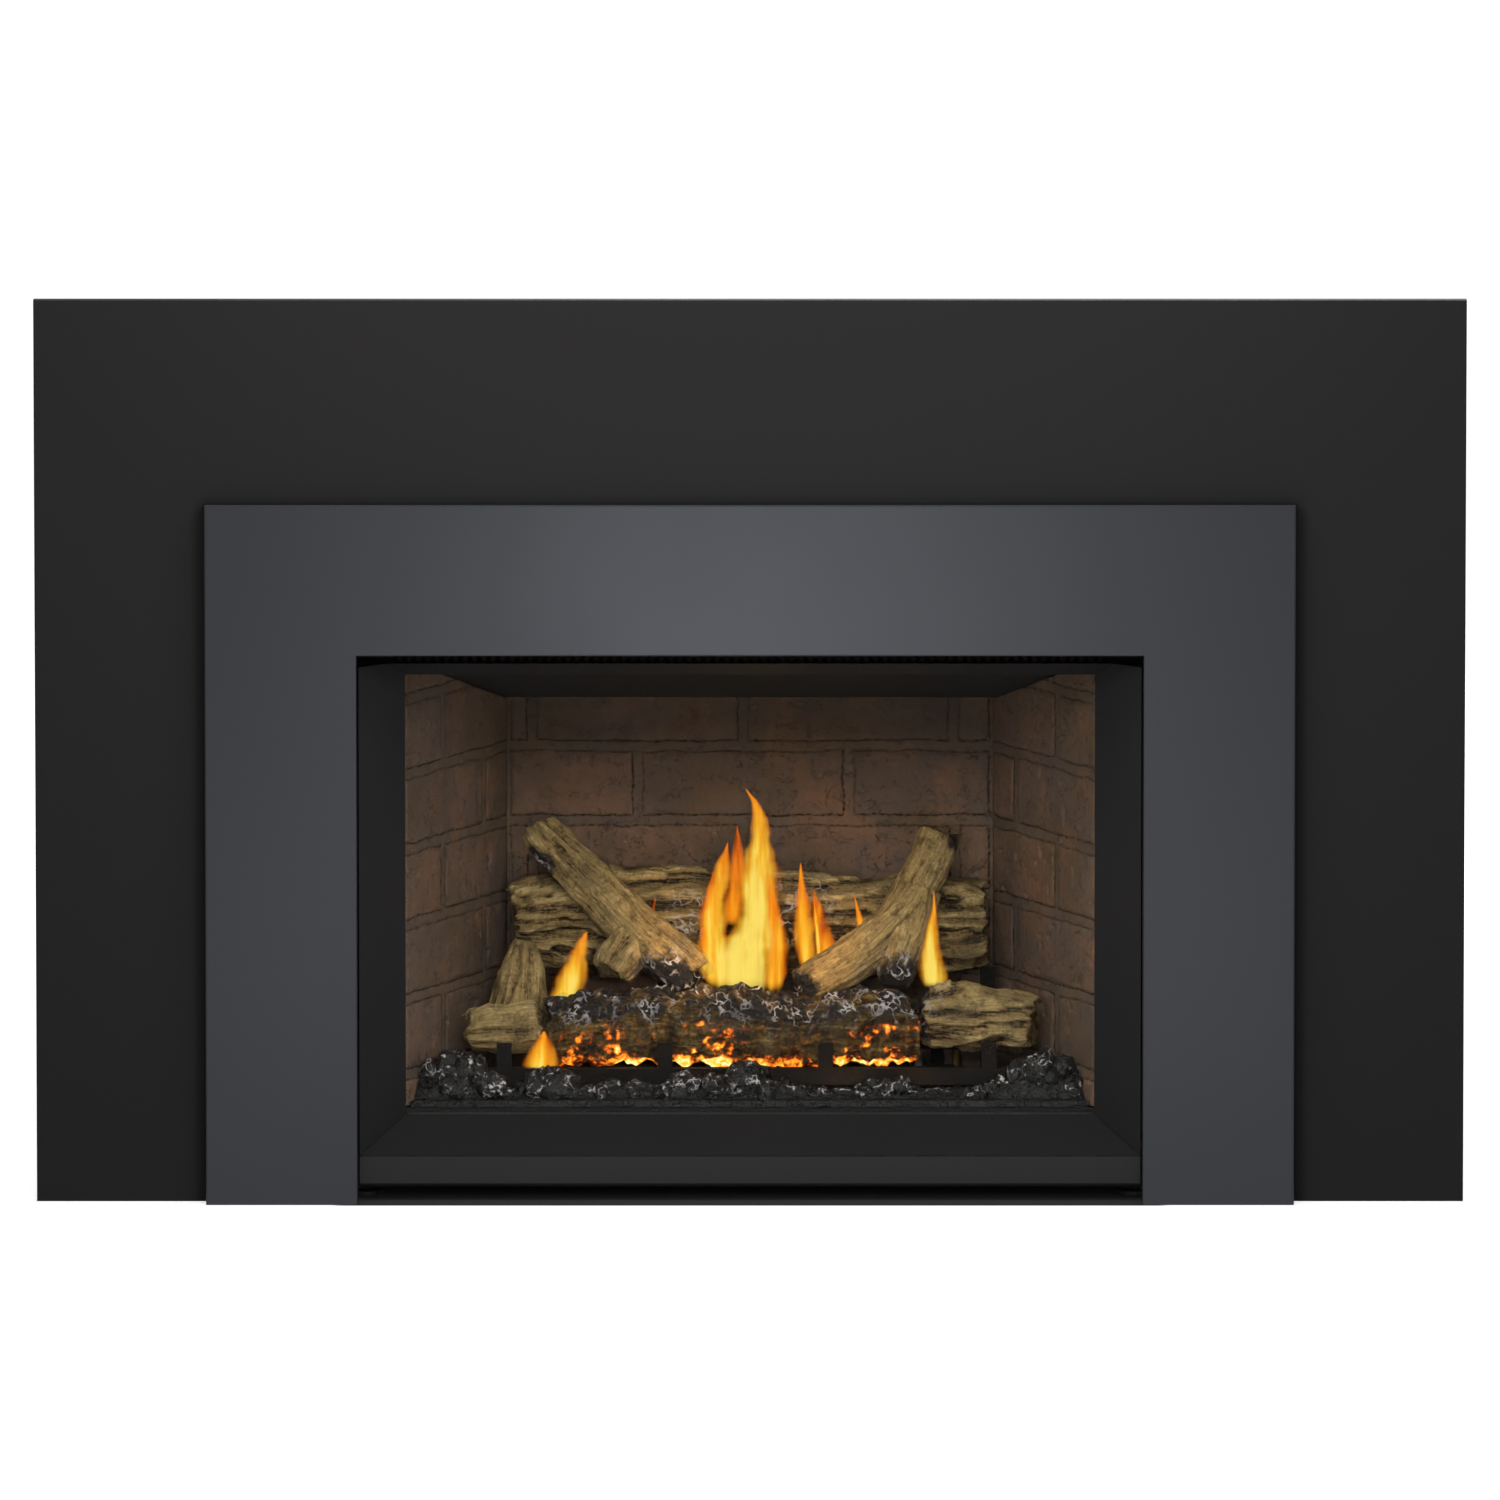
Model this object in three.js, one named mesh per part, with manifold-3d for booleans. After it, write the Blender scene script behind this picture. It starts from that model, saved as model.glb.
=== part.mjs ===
// Direct-vent gas fireplace insert: a steel case with a brick-lined firebox, a tilting glass
// door with a mitred bezel, a log set on a grate, a lift-off front surround and a wide
// backer plate behind it.
//
// Units are millimetres. X runs to the right, Z up. The helpers below take a depth d, which
// is measured backwards from the face of the front surround, so the model is first built with
// Y = d, and the last lines move it so that the origin is at the bottom centre.

import * as THREE from "three";
import { mergeVertices } from "three/addons/utils/BufferGeometryUtils.js";
import Module from "manifold-3d";

const wasm = await Module();
wasm.setup();

// ---------------------------------------------------------------- driving dimensions

const OVERALL_DEPTH = 400;
const GAP = 0.3;
const EPS = 5;

const BACKER = { width: 1050, height: 666, face: 20, sheet: 2, lip: 14, openHalf: 296, openTop: 440 };
const SURROUND = {
  width: 800, height: 517.5, depth: 18.4, sheet: 2, hook: 14.5, openHalf: 288.3, openTop: 405.8,
};
const RAIL = { half: 340, sheet: 1.5, front: 13, bottom: 478, shelf: 500, top: 511 };
const CASE = { half: 315, top: 470, bottom: 8, sheet: 2 };
const FRAME = { front: 22.3, sheet: 2, openHalf: 290, openTop: 412 };

// The bezel is a picture frame whose faces slope back from its outer edge to the glass.
const BEZEL = {
  front: 24, back: 64, outerHalf: 287.4, innerHalf: 254,
  bottom: 33.1, innerBottom: 58.5, innerTop: 385.2, top: 411, trimTop: 395, wall: 2.5,
};

const GLASS_FRAME = {
  front: 64.3, back: 77, half: 268, bottom: 46, top: 394, sheet: 1.5,
  sightHalf: 256, sightBottom: 57, sightTop: 387,
};
const GLASS = { front: 66.1, back: 71.1, half: 266, bottom: 48, top: 392 };
const GASKET = {
  front: 71.4, back: 77.7, half: 265.5, width: 9.5, bottom: 48.5, top: 391.5, topWidth: 5,
};
const COMB = {
  front: 60, sheet: 2, half: 261, bottom: 391, root: 393, tip: 401.5, pitch: 6.87, tooth: 3.2,
};
const CATCH = { x: 200, halfWidth: 10, leaf: 1.7, foot: 398, ridge: 395.1, top: 414 };
const ACCESS_BAR = { bottom: 11.6, top: 32.7, sheet: 1.5, lip: 14 };

// Plan of the firebox: the brick faces run from the glass back to a narrower rear wall.
const FIREBOX = {
  front: 80, rear: 264, frontHalf: 256, rearHalf: 182, floor: 61, roof: 404, sheet: 1.5,
};
const FLANGE = { front: 78, top: 467.7, bottom: 46, openHalf: 258, openTop: 388 };
const CEILING = { frontZ: 395.5, rearZ: 345, thickness: 8, start: 130 };
const PANEL_THICKNESS = 20;
const BRICK = { length: 148.5, height: 47, mortar: 9, proud: 3, firstBottom: 89.5 };

const COLLAR = { x: 62, d: 205, inner: 36.5, outer: 38, foot: 46, flange: 52, top: 505 };
const BARS = { width: 11, xs: [-182, -63, 56, 177], bottom: 84, top: 92.6, front: 112, back: 240 };
const PAN = {
  left: -160, right: 118, front: 128, back: 226, top: 80, sheet: 2, portPitch: 24, port: 5,
};
const VENTURI = { d: 165, z: 72, radius: 9, bore: 7, start: 118.3, end: 160 };
const SHUTTER = { left: 130, length: 22, sheet: 1.5, windowLeft: 135, windowRight: 147 };
const BLOWER = { d: 346, z: 52, wheel: 28, scroll: 34, left: -150, right: 112 };
const BRACKET = { front: 60, sheet: 1.5, left: 100, right: 286, top: 43 };
const KNOB_Z = 27;

// ---------------------------------------------------------------- finishes

function finish(color, roughness, metalness) {
  return new THREE.MeshStandardMaterial({ color, roughness, metalness });
}

const satinGrey = finish(0x36383b, 0.5, 0.4);
const surroundGrey = finish(0x55575b, 0.42, 0.5);
const blackPaint = finish(0x1e1e20, 0.6, 0.3);
const galvanised = finish(0x9aa0a4, 0.45, 0.9);
const brickBrown = finish(0x4c3c33, 0.9, 0);
const castBlack = finish(0x1a1a1b, 0.8, 0.4);
const logTan = finish(0x6b5a3a, 0.95, 0);
const charGrey = finish(0x4a4440, 0.95, 0);
const brass = finish(0xb08d4a, 0.35, 0.9);
const blackPlastic = finish(0x161617, 0.55, 0);
const ropeGrey = finish(0x8f8b82, 0.95, 0);
const ceramicGlass = finish(0xcfd6d4, 0.05, 0);
ceramicGlass.transparent = true;
ceramicGlass.opacity = 0.25;

// ---------------------------------------------------------------- shape helpers

function outline(points) {
  return new THREE.Shape(points.map(([u, v]) => new THREE.Vector2(u, v)));
}

function extrude(points, length) {
  return new THREE.ExtrudeGeometry(outline(points), { depth: length, bevelEnabled: false });
}

// An outline in x and z, swept backwards from depth d0 to d1.
function frontPlate(points, d0, d1) {
  return extrude(points, d1 - d0).rotateX(Math.PI / 2).translate(0, d1, 0);
}

// An outline in x and d, swept upwards from z0 to z1.
function planPlate(points, z0, z1) {
  return extrude(points, z1 - z0).translate(0, 0, z0);
}

// An outline in d and z, swept to the right from x0 to x1.
function sectionBar(points, x0, x1) {
  const turn = new THREE.Matrix4().set(0, 0, 1, x0, 1, 0, 0, 0, 0, 1, 0, 0, 0, 0, 0, 1);
  return extrude(points, x1 - x0).applyMatrix4(turn);
}

function box(x0, x1, d0, d1, z0, z1) {
  const shape = new THREE.BoxGeometry(x1 - x0, d1 - d0, z1 - z0);
  return shape.translate((x0 + x1) / 2, (d0 + d1) / 2, (z0 + z1) / 2);
}

// A profile of [radius, height] pairs turned about Z, standing at (x, d, z).
function turned(profile, x, d, z, segments = 24) {
  const points = profile.map(([r, h]) => new THREE.Vector2(r, h));
  return new THREE.LatheGeometry(points, segments).rotateX(Math.PI / 2).translate(x, d, z);
}

// The same, with its axis pointing along +X or towards the front.
function turnedAlongX(profile, x, d, z, segments = 24) {
  return turned(profile, 0, 0, 0, segments).rotateY(Math.PI / 2).translate(x, d, z);
}

function turnedToFront(profile, x, d, z, segments = 24) {
  return turned(profile, 0, 0, 0, segments).rotateX(Math.PI / 2).translate(x, d, z);
}

function rod(radius, length) {
  return [[0, 0], [radius, 0], [radius, length], [0, length]];
}

// A closed ring profile has to end where it starts.
function closed(profile) {
  return [...profile, profile[0]];
}

// ---------------------------------------------------------------- booleans

function toSolid(geometry) {
  const bare = geometry.clone();
  bare.deleteAttribute("normal");
  bare.deleteAttribute("uv");
  const merged = mergeVertices(bare, 1e-4);
  const vertProperties = new Float32Array(merged.attributes.position.array);
  const triVerts = new Uint32Array(merged.index.array);
  return new wasm.Manifold(new wasm.Mesh({ numProp: 3, vertProperties, triVerts }));
}

function toGeometry(solid) {
  const mesh = solid.getMesh();
  const geometry = new THREE.BufferGeometry();
  geometry.setAttribute("position", new THREE.BufferAttribute(mesh.vertProperties, 3));
  geometry.setIndex(new THREE.BufferAttribute(mesh.triVerts, 1));
  geometry.computeVertexNormals();
  return geometry;
}

function join(...shapes) {
  return toGeometry(shapes.map(toSolid).reduce((all, next) => all.add(next)));
}

function cut(shape, ...tools) {
  return toGeometry(tools.map(toSolid).reduce((left, tool) => left.subtract(tool), toSolid(shape)));
}

function common(shape, ...others) {
  return toGeometry(others.map(toSolid).reduce((left, other) => left.intersect(other), toSolid(shape)));
}

// ---------------------------------------------------------------- assembly

const insert = new THREE.Group();
insert.position.y = -OVERALL_DEPTH / 2;

function add(name, geometry, material) {
  const mesh = new THREE.Mesh(geometry, material);
  mesh.name = name;
  insert.add(mesh);
  return mesh;
}

function sides(make) {
  make("left", -1);
  make("right", 1);
}

// ---------------------------------------------------------------- base and case

const FOOT_PAD = [[0, 0], [14, 0], [14, 3], [5, 4], [5, CASE.bottom - GAP], [0, CASE.bottom - GAP]];
const FOOT_X = 285;
for (const [row, d] of [["front", 62], ["rear", 375]]) {
  sides((side, sign) => {
    add(`${row}_${side}_levelling_foot`, turned(FOOT_PAD, sign * FOOT_X, d, 0, 20), castBlack);
  });
}

const caseInner = CASE.half - CASE.sheet;
const panTop = CASE.bottom + CASE.sheet;
const panelHalf = caseInner - GAP;
const caseBack = OVERALL_DEPTH - CASE.sheet;
add("base_pan", box(-panelHalf, panelHalf, 42, caseBack - GAP, CASE.bottom, panTop), galvanised);

const frameBack = FRAME.front + FRAME.sheet;
const GAS_INLET = { d: 102, z: 30, tube: 5, hex: 11 };
sides((side, sign) => {
  const x0 = sign < 0 ? -CASE.half : caseInner;
  const wall = box(x0, x0 + CASE.sheet, frameBack + GAP, OVERALL_DEPTH, CASE.bottom, CASE.top);
  const hole = turnedAlongX(rod(GAS_INLET.tube + 1, 20), caseInner - EPS, GAS_INLET.d, GAS_INLET.z);
  add(`case_${side}_panel`, sign > 0 ? cut(wall, hole) : wall, galvanised);
});

const rearPanel = box(-panelHalf, panelHalf, caseBack, OVERALL_DEPTH, panTop + GAP, CASE.top);
add("case_rear_panel", rearPanel, galvanised);

const collarHoles = [-1, 1].map((sign) =>
  turned(rod(COLLAR.outer + 1, 200), sign * COLLAR.x, COLLAR.d, FIREBOX.roof - 20));
const topFront = frameBack + GAP;
const topPanel = box(-panelHalf, panelHalf, topFront, caseBack - GAP, CASE.top - CASE.sheet, CASE.top);
add("case_top_panel", cut(topPanel, ...collarHoles), galvanised);

// A three-sided flange at the front of the case, which carries the backer plate.
function archOutline(halfOuter, top, halfInner, innerTop, bottom) {
  return [
    [-halfOuter, bottom], [-halfInner, bottom], [-halfInner, innerTop], [halfInner, innerTop],
    [halfInner, bottom], [halfOuter, bottom], [halfOuter, top], [-halfOuter, top],
  ];
}

const frameArch = archOutline(CASE.half, CASE.top, FRAME.openHalf, FRAME.openTop, CASE.bottom);
add("front_frame", frontPlate(frameArch, FRAME.front, frameBack), blackPaint);

// ---------------------------------------------------------------- backer plate and rail

const backerHalf = BACKER.width / 2;
const backerBack = BACKER.face + BACKER.sheet;
const backerArch = archOutline(backerHalf, BACKER.height, BACKER.openHalf, BACKER.openTop, 0);
const backerBody = frontPlate(backerArch, BACKER.face, BACKER.face + BACKER.lip);
const backerHollow = box(
  -backerHalf + BACKER.sheet, backerHalf - BACKER.sheet,
  backerBack, BACKER.face + BACKER.lip + EPS,
  -EPS, BACKER.height - BACKER.sheet,
);
add("backer_plate", cut(backerBody, backerHollow), satinGrey);

const railBack = BACKER.face - GAP;
const railSection = [
  [railBack, RAIL.bottom], [railBack, RAIL.shelf], [RAIL.front + RAIL.sheet, RAIL.shelf],
  [RAIL.front + RAIL.sheet, RAIL.top], [RAIL.front, RAIL.top], [RAIL.front, RAIL.shelf - RAIL.sheet],
  [railBack - RAIL.sheet, RAIL.shelf - RAIL.sheet], [railBack - RAIL.sheet, RAIL.bottom],
];
add("surround_hanger_rail", sectionBar(railSection, -RAIL.half, RAIL.half), galvanised);

// ---------------------------------------------------------------- front surround

// A tray of folded sheet, open at the back and below. Its top return turns down at the
// rear to form the lip that hooks behind the hanger rail.
const surroundHalf = SURROUND.width / 2;
const surroundArch = archOutline(surroundHalf, SURROUND.height, SURROUND.openHalf, SURROUND.openTop, 0);
const surroundHollow = archOutline(
  surroundHalf - SURROUND.sheet, SURROUND.height - SURROUND.sheet,
  SURROUND.openHalf + SURROUND.sheet, SURROUND.openTop + SURROUND.sheet, -EPS,
);
const surroundTray = cut(
  frontPlate(surroundArch, 0, SURROUND.depth),
  frontPlate(surroundHollow, SURROUND.sheet, SURROUND.depth + EPS),
);
const hookLip = box(
  -surroundHalf + 1, surroundHalf - 1,
  SURROUND.depth - SURROUND.sheet, SURROUND.depth,
  SURROUND.height - SURROUND.hook, SURROUND.height - 1,
);
add("front_surround", join(surroundTray, hookLip), surroundGrey);

// ---------------------------------------------------------------- glass door

// Each bezel member is its sheet section cut by the mitre lines of the picture frame.
const outerHalf = BEZEL.outerHalf;
const innerHalf = BEZEL.innerHalf;
function mitred(outerZ, innerZ) {
  const ends = [[-outerHalf, outerZ], [outerHalf, outerZ], [innerHalf, innerZ], [-innerHalf, innerZ]];
  return frontPlate(ends, 0, 100);
}

function slopedSection(outer, inner, away) {
  return [
    [outer, BEZEL.front], [inner, BEZEL.back], [inner + away * BEZEL.wall, BEZEL.back],
    [outer, BEZEL.front + BEZEL.wall * 1.5],
  ];
}

function swap(points) {
  return points.map(([u, v]) => [v, u]);
}

const bottomSection = swap(slopedSection(BEZEL.bottom, BEZEL.innerBottom, -1));
const bottomMember = common(
  sectionBar(bottomSection, -outerHalf, outerHalf),
  mitred(BEZEL.bottom, BEZEL.innerBottom),
);
add("bezel_bottom", bottomMember, blackPaint);

const topSection = swap(slopedSection(BEZEL.top, BEZEL.innerTop, 1));
const topMember = common(
  sectionBar(topSection, -outerHalf, outerHalf),
  mitred(BEZEL.top, BEZEL.innerTop),
  box(-outerHalf, outerHalf, 0, 100, 0, BEZEL.trimTop),
);
add("bezel_top", topMember, blackPaint);

sides((side, sign) => {
  const section = slopedSection(outerHalf, innerHalf, 1).map(([x, d]) => [sign * x, d]);
  const mitreEnds = [
    [outerHalf, BEZEL.bottom + GAP], [innerHalf, BEZEL.innerBottom + GAP],
    [innerHalf, BEZEL.innerTop - GAP], [outerHalf, BEZEL.top - GAP],
  ].map(([x, z]) => [sign * x, z]);
  const member = common(
    planPlate(section, BEZEL.bottom, BEZEL.trimTop),
    frontPlate(mitreEnds, 0, 100),
  );
  add(`bezel_${side}`, member, blackPaint);
});

const frameOuter = box(
  -GLASS_FRAME.half, GLASS_FRAME.half,
  GLASS_FRAME.front, GLASS_FRAME.back,
  GLASS_FRAME.bottom, GLASS_FRAME.top,
);
const frameHollow = box(
  -GLASS_FRAME.half + GLASS_FRAME.sheet, GLASS_FRAME.half - GLASS_FRAME.sheet,
  GLASS_FRAME.front + GLASS_FRAME.sheet, GLASS_FRAME.back + EPS,
  GLASS_FRAME.bottom + GLASS_FRAME.sheet, GLASS_FRAME.top - GLASS_FRAME.sheet,
);
const frameSight = box(
  -GLASS_FRAME.sightHalf, GLASS_FRAME.sightHalf,
  0, GLASS_FRAME.back + EPS,
  GLASS_FRAME.sightBottom, GLASS_FRAME.sightTop,
);
add("glass_frame", cut(frameOuter, frameHollow, frameSight), blackPaint);
const pane = box(-GLASS.half, GLASS.half, GLASS.front, GLASS.back, GLASS.bottom, GLASS.top);
add("glass_pane", pane, ceramicGlass);

const gasketOuter = box(
  -GASKET.half, GASKET.half, GASKET.front, GASKET.back, GASKET.bottom, GASKET.top,
);
const gasketHole = box(
  -GASKET.half + GASKET.width, GASKET.half - GASKET.width,
  0, GASKET.back + EPS,
  GASKET.bottom + GASKET.width, GASKET.top - GASKET.topWidth,
);
add("glass_gasket", cut(gasketOuter, gasketHole), ropeGrey);

// The warm-air outlet above the glass is a comb: a strip with upright teeth.
function combOutline({ half, bottom, root, tip, pitch, tooth }) {
  const points = [[-half, bottom], [half, bottom], [half, root]];
  const gaps = Math.floor((2 * half - tooth) / pitch);
  for (let i = 0; i <= gaps; i += 1) {
    const right = (gaps / 2 - i) * pitch + tooth / 2;
    const left = right - tooth;
    points.push([right, root], [right, tip], [left, tip], [left, root]);
  }
  points.push([-half, root]);
  return points;
}

const comb = frontPlate(combOutline(COMB), COMB.front, COMB.front + COMB.sheet);
add("air_outlet_comb", comb, castBlack);

// Two leaf springs on the firebox flange snap over the top of the glass frame. Each hangs down
// the flange, bends forward under a ridge and ends in a lead-in that rises towards the front.
const catchBack = FLANGE.front - GAP;
const catchFront = catchBack - 1.4;
const ridgeDepth = catchBack - 4.1;
const leadInDepth = catchBack - 9.9;
const leadInTop = CATCH.ridge + 4.2;
const catchLeaf = [
  [catchBack, CATCH.top], [catchFront, CATCH.top],
  [catchFront, CATCH.foot + 0.6], [ridgeDepth, CATCH.ridge + CATCH.leaf],
  [leadInDepth + 0.8, leadInTop + 1.1], [leadInDepth, leadInTop],
  [ridgeDepth, CATCH.ridge], [catchBack, CATCH.foot],
];
sides((side, sign) => {
  const x = sign * CATCH.x;
  const leaf = sectionBar(catchLeaf, x - CATCH.halfWidth, x + CATCH.halfWidth);
  add(`${side}_door_catch`, leaf, galvanised);
});

// ---------------------------------------------------------------- access bar

const barFront = BEZEL.front;
const barSection = [
  [barFront, ACCESS_BAR.bottom], [barFront + ACCESS_BAR.lip, ACCESS_BAR.bottom],
  [barFront + ACCESS_BAR.lip, ACCESS_BAR.bottom + ACCESS_BAR.sheet],
  [barFront + ACCESS_BAR.sheet, ACCESS_BAR.bottom + ACCESS_BAR.sheet],
  [barFront + ACCESS_BAR.sheet, ACCESS_BAR.top], [barFront, ACCESS_BAR.top],
];
add("access_bar", sectionBar(barSection, -outerHalf, outerHalf), satinGrey);

// ---------------------------------------------------------------- firebox shell

const splay = (FIREBOX.frontHalf - FIREBOX.rearHalf) / (FIREBOX.rear - FIREBOX.front);
const splayAngle = Math.atan(splay);
const panelAcross = PANEL_THICKNESS / Math.cos(splayAngle);

// Half-width of the brick face at depth d.
function brickHalf(d) {
  return FIREBOX.frontHalf - (d - FIREBOX.front) * splay;
}

function mirrored(halfPoints) {
  return [...halfPoints, ...halfPoints.map(([x, d]) => [-x, d]).reverse()];
}

const shellRear = FIREBOX.rear + PANEL_THICKNESS + 2;
const shellClearance = 3;
function shellPlan(offset) {
  const away = panelAcross + shellClearance + offset;
  return mirrored([
    [FIREBOX.frontHalf + away, FIREBOX.front],
    [brickHalf(FIREBOX.rear) + away, FIREBOX.rear],
    [brickHalf(FIREBOX.rear) + away, shellRear + offset],
  ]);
}

const shellBottom = FIREBOX.floor - CASE.sheet;
const shellOuter = planPlate(shellPlan(FIREBOX.sheet), shellBottom, FIREBOX.roof + CASE.sheet);
const shellInner = planPlate(shellPlan(0), FIREBOX.floor, FIREBOX.roof);
const flangeBack = FIREBOX.front + 0.5;
const flangePlate = box(
  -panelHalf, panelHalf, FLANGE.front, flangeBack, FLANGE.bottom, FLANGE.top,
);
const flangeWindow = box(
  -FLANGE.openHalf, FLANGE.openHalf, 0, flangeBack + 0.5, FIREBOX.floor, FLANGE.openTop,
);
const GAS_RISER = { x: 176, d: VENTURI.d, hole: 7 };
const riserHole = turned(rod(GAS_RISER.hole, 20), GAS_RISER.x, GAS_RISER.d, FIREBOX.floor - 10);
const shell = cut(join(shellOuter, flangePlate), shellInner, flangeWindow, ...collarHoles, riserHole);
add("firebox_shell", shell, blackPaint);

// ---------------------------------------------------------------- brick panels

const courses = [-1, 0, 1, 2, 3, 4, 5];
const brickPitch = BRICK.length + BRICK.mortar;

// Raised bricks in running bond over a strip from u0 to u1, on the plane y = 0 and proud of
// it towards -y. Odd courses have a joint at jointAt, even courses half a brick further on.
function raisedBricks(u0, u1, z0, z1, jointAt) {
  const bricks = [];
  for (const course of courses) {
    const courseBottom = BRICK.firstBottom + course * (BRICK.height + BRICK.mortar);
    const bottom = Math.max(courseBottom, z0);
    const top = Math.min(courseBottom + BRICK.height, z1);
    const shift = course % 2 === 0 ? 0 : brickPitch / 2;
    for (let i = -3; i <= 3; i += 1) {
      const left = Math.max(jointAt + shift + i * brickPitch + BRICK.mortar / 2, u0);
      const right = Math.min(jointAt + shift + (i + 1) * brickPitch - BRICK.mortar / 2, u1);
      if (right - left > BRICK.mortar && top - bottom > BRICK.mortar) {
        bricks.push(box(left, right, -BRICK.proud, 1, bottom, top));
      }
    }
  }
  return bricks;
}

function ceilingZ(d) {
  const slope = (CEILING.rearZ - CEILING.frontZ) / (FIREBOX.rear - FIREBOX.front);
  return CEILING.frontZ + (d - FIREBOX.front) * slope;
}

const REAR_JOINT = -4.8;
const rearHalf = brickHalf(FIREBOX.rear) + panelAcross + 1;
const rearTop = FIREBOX.roof - 6;
const floorTop = FIREBOX.floor + GAP;
const rearSlab = box(-rearHalf, rearHalf, 0, PANEL_THICKNESS, floorTop, rearTop);
const visibleTop = ceilingZ(FIREBOX.rear) - 1;
const rearVisible = FIREBOX.rearHalf - BRICK.proud - 1;
const rearBricks = raisedBricks(-rearVisible, rearVisible, floorTop, visibleTop, REAR_JOINT);
add("rear_brick_panel", join(rearSlab, ...rearBricks).translate(0, FIREBOX.rear + GAP, 0), brickBrown);

const SIDE_JOINT = 73;
const sideLength = Math.hypot(FIREBOX.frontHalf - FIREBOX.rearHalf, FIREBOX.rear - FIREBOX.front);
sides((side, sign) => {
  const u0 = 1;
  const u1 = sideLength - BRICK.proud - 1;
  const slab = box(-30, sideLength + 30, 0, PANEL_THICKNESS, floorTop, CEILING.frontZ);
  const bricks = raisedBricks(u0, u1, floorTop, CEILING.frontZ, SIDE_JOINT);
  // The strip runs along +x with its back towards +y; it is turned to the left-hand splay.
  const strip = join(slab, ...bricks).rotateZ(Math.PI / 2 - splayAngle);
  const placed = strip.translate(-FIREBOX.frontHalf, FIREBOX.front, 0);
  const front = FIREBOX.front + 0.8;
  const rear = FIREBOX.rear - GAP;
  const underCeiling = [
    [front, 0], [rear, 0], [rear, ceilingZ(rear) - GAP], [front, ceilingZ(front) - GAP],
  ];
  const ends = sectionBar(underCeiling, -CASE.half, CASE.half);
  const panel = common(placed, ends);
  if (sign > 0) {
    panel.scale(-1, 1, 1);
    panel.index.array.reverse();
  }
  add(`${side}_brick_panel`, panel, brickBrown);
});

const baffleEdge = panelAcross + 1.5;
const bafflePlan = mirrored([
  [brickHalf(CEILING.start) + baffleEdge, CEILING.start],
  [brickHalf(FIREBOX.rear - GAP) + baffleEdge, FIREBOX.rear - GAP],
]);
const baffleSection = [
  [0, ceilingZ(0)], [FIREBOX.rear, ceilingZ(FIREBOX.rear)],
  [FIREBOX.rear, ceilingZ(FIREBOX.rear) + CEILING.thickness], [0, ceilingZ(0) + CEILING.thickness],
];
const baffle = common(
  planPlate(bafflePlan, 0, BACKER.height),
  sectionBar(baffleSection, -CASE.half, CASE.half),
);
add("ceiling_baffle", baffle, blackPaint);

// ---------------------------------------------------------------- burner and grate

const panBody = box(PAN.left, PAN.right, PAN.front, PAN.back, floorTop, PAN.top);
const panHollow = box(
  PAN.left + PAN.sheet, PAN.right - PAN.sheet,
  PAN.front + PAN.sheet, PAN.back - PAN.sheet,
  floorTop + PAN.sheet, PAN.top - PAN.sheet,
);
const panPorts = [];
const portRow = PAN.front + 40;
for (let x = PAN.left + 20; x < PAN.right - 12; x += PAN.portPitch) {
  panPorts.push(box(x, x + PAN.port, portRow, portRow + PAN.port, PAN.top - EPS, PAN.top + EPS));
}
const panInlet = turnedAlongX(rod(VENTURI.bore, 20), PAN.right - 8, VENTURI.d, VENTURI.z, 16);
add("burner_pan", cut(panBody, panHollow, panInlet, ...panPorts), castBlack);

const venturiLength = VENTURI.end - VENTURI.start;
function sleeve(inner, outer, length) {
  return closed([[inner, 0], [outer, 0], [outer, length], [inner, length]]);
}

const venturiProfile = sleeve(VENTURI.bore, VENTURI.radius, venturiLength);
const airPort = box(
  SHUTTER.windowLeft + 1, SHUTTER.windowRight - 1,
  VENTURI.d - 4, VENTURI.d + 4, VENTURI.z, VENTURI.z + 30,
);
const venturiTube = turnedAlongX(venturiProfile, VENTURI.start, VENTURI.d, VENTURI.z, 16);
add("venturi_tube", cut(venturiTube, airPort), galvanised);

const shutterInner = VENTURI.radius + GAP;
const shutterProfile = sleeve(shutterInner, shutterInner + SHUTTER.sheet, SHUTTER.length);
const shutterSleeve = turnedAlongX(shutterProfile, SHUTTER.left, VENTURI.d, VENTURI.z, 20);
const shutterWindow = box(
  SHUTTER.windowLeft, SHUTTER.windowRight,
  VENTURI.d - 5, VENTURI.d + 5, VENTURI.z, VENTURI.z + 30,
);
add("air_shutter", cut(shutterSleeve, shutterWindow), galvanised);

const POST = { front: 213, back: 223, top: 148 };
const UPRIGHT = { thickness: 7, top: 104.5 };
const RAILS = { left: -193, right: 197, bottom: 74, top: 86, thickness: 10 };
const bars = BARS.xs.map((x) => {
  const left = x - BARS.width / 2;
  const right = x + BARS.width / 2;
  return join(
    box(left, right, BARS.front, BARS.back, BARS.bottom, BARS.top),
    box(left, right, BARS.front, BARS.front + UPRIGHT.thickness, BARS.bottom, UPRIGHT.top),
    box(left, right, POST.front, POST.back, BARS.bottom, POST.top),
  );
});
const grateLegs = [BARS.xs[0], BARS.xs[3]].flatMap((x) => [
  box(x - 5, x + 5, BARS.front, BARS.front + 9, floorTop, BARS.bottom + 2),
  box(x - 5, x + 5, BARS.back - 9, BARS.back, floorTop, BARS.bottom + 2),
]);
const railEnd = BARS.front + RAILS.thickness;
const frontRail = box(RAILS.left, RAILS.right, BARS.front, railEnd, RAILS.bottom, RAILS.top);
const rearRail = box(BARS.xs[0], BARS.xs[3], BARS.back - 8, BARS.back, BARS.bottom, BARS.top);
add("log_grate", join(frontRail, rearRail, ...bars, ...grateLegs), castBlack);

// ---------------------------------------------------------------- log set

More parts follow.
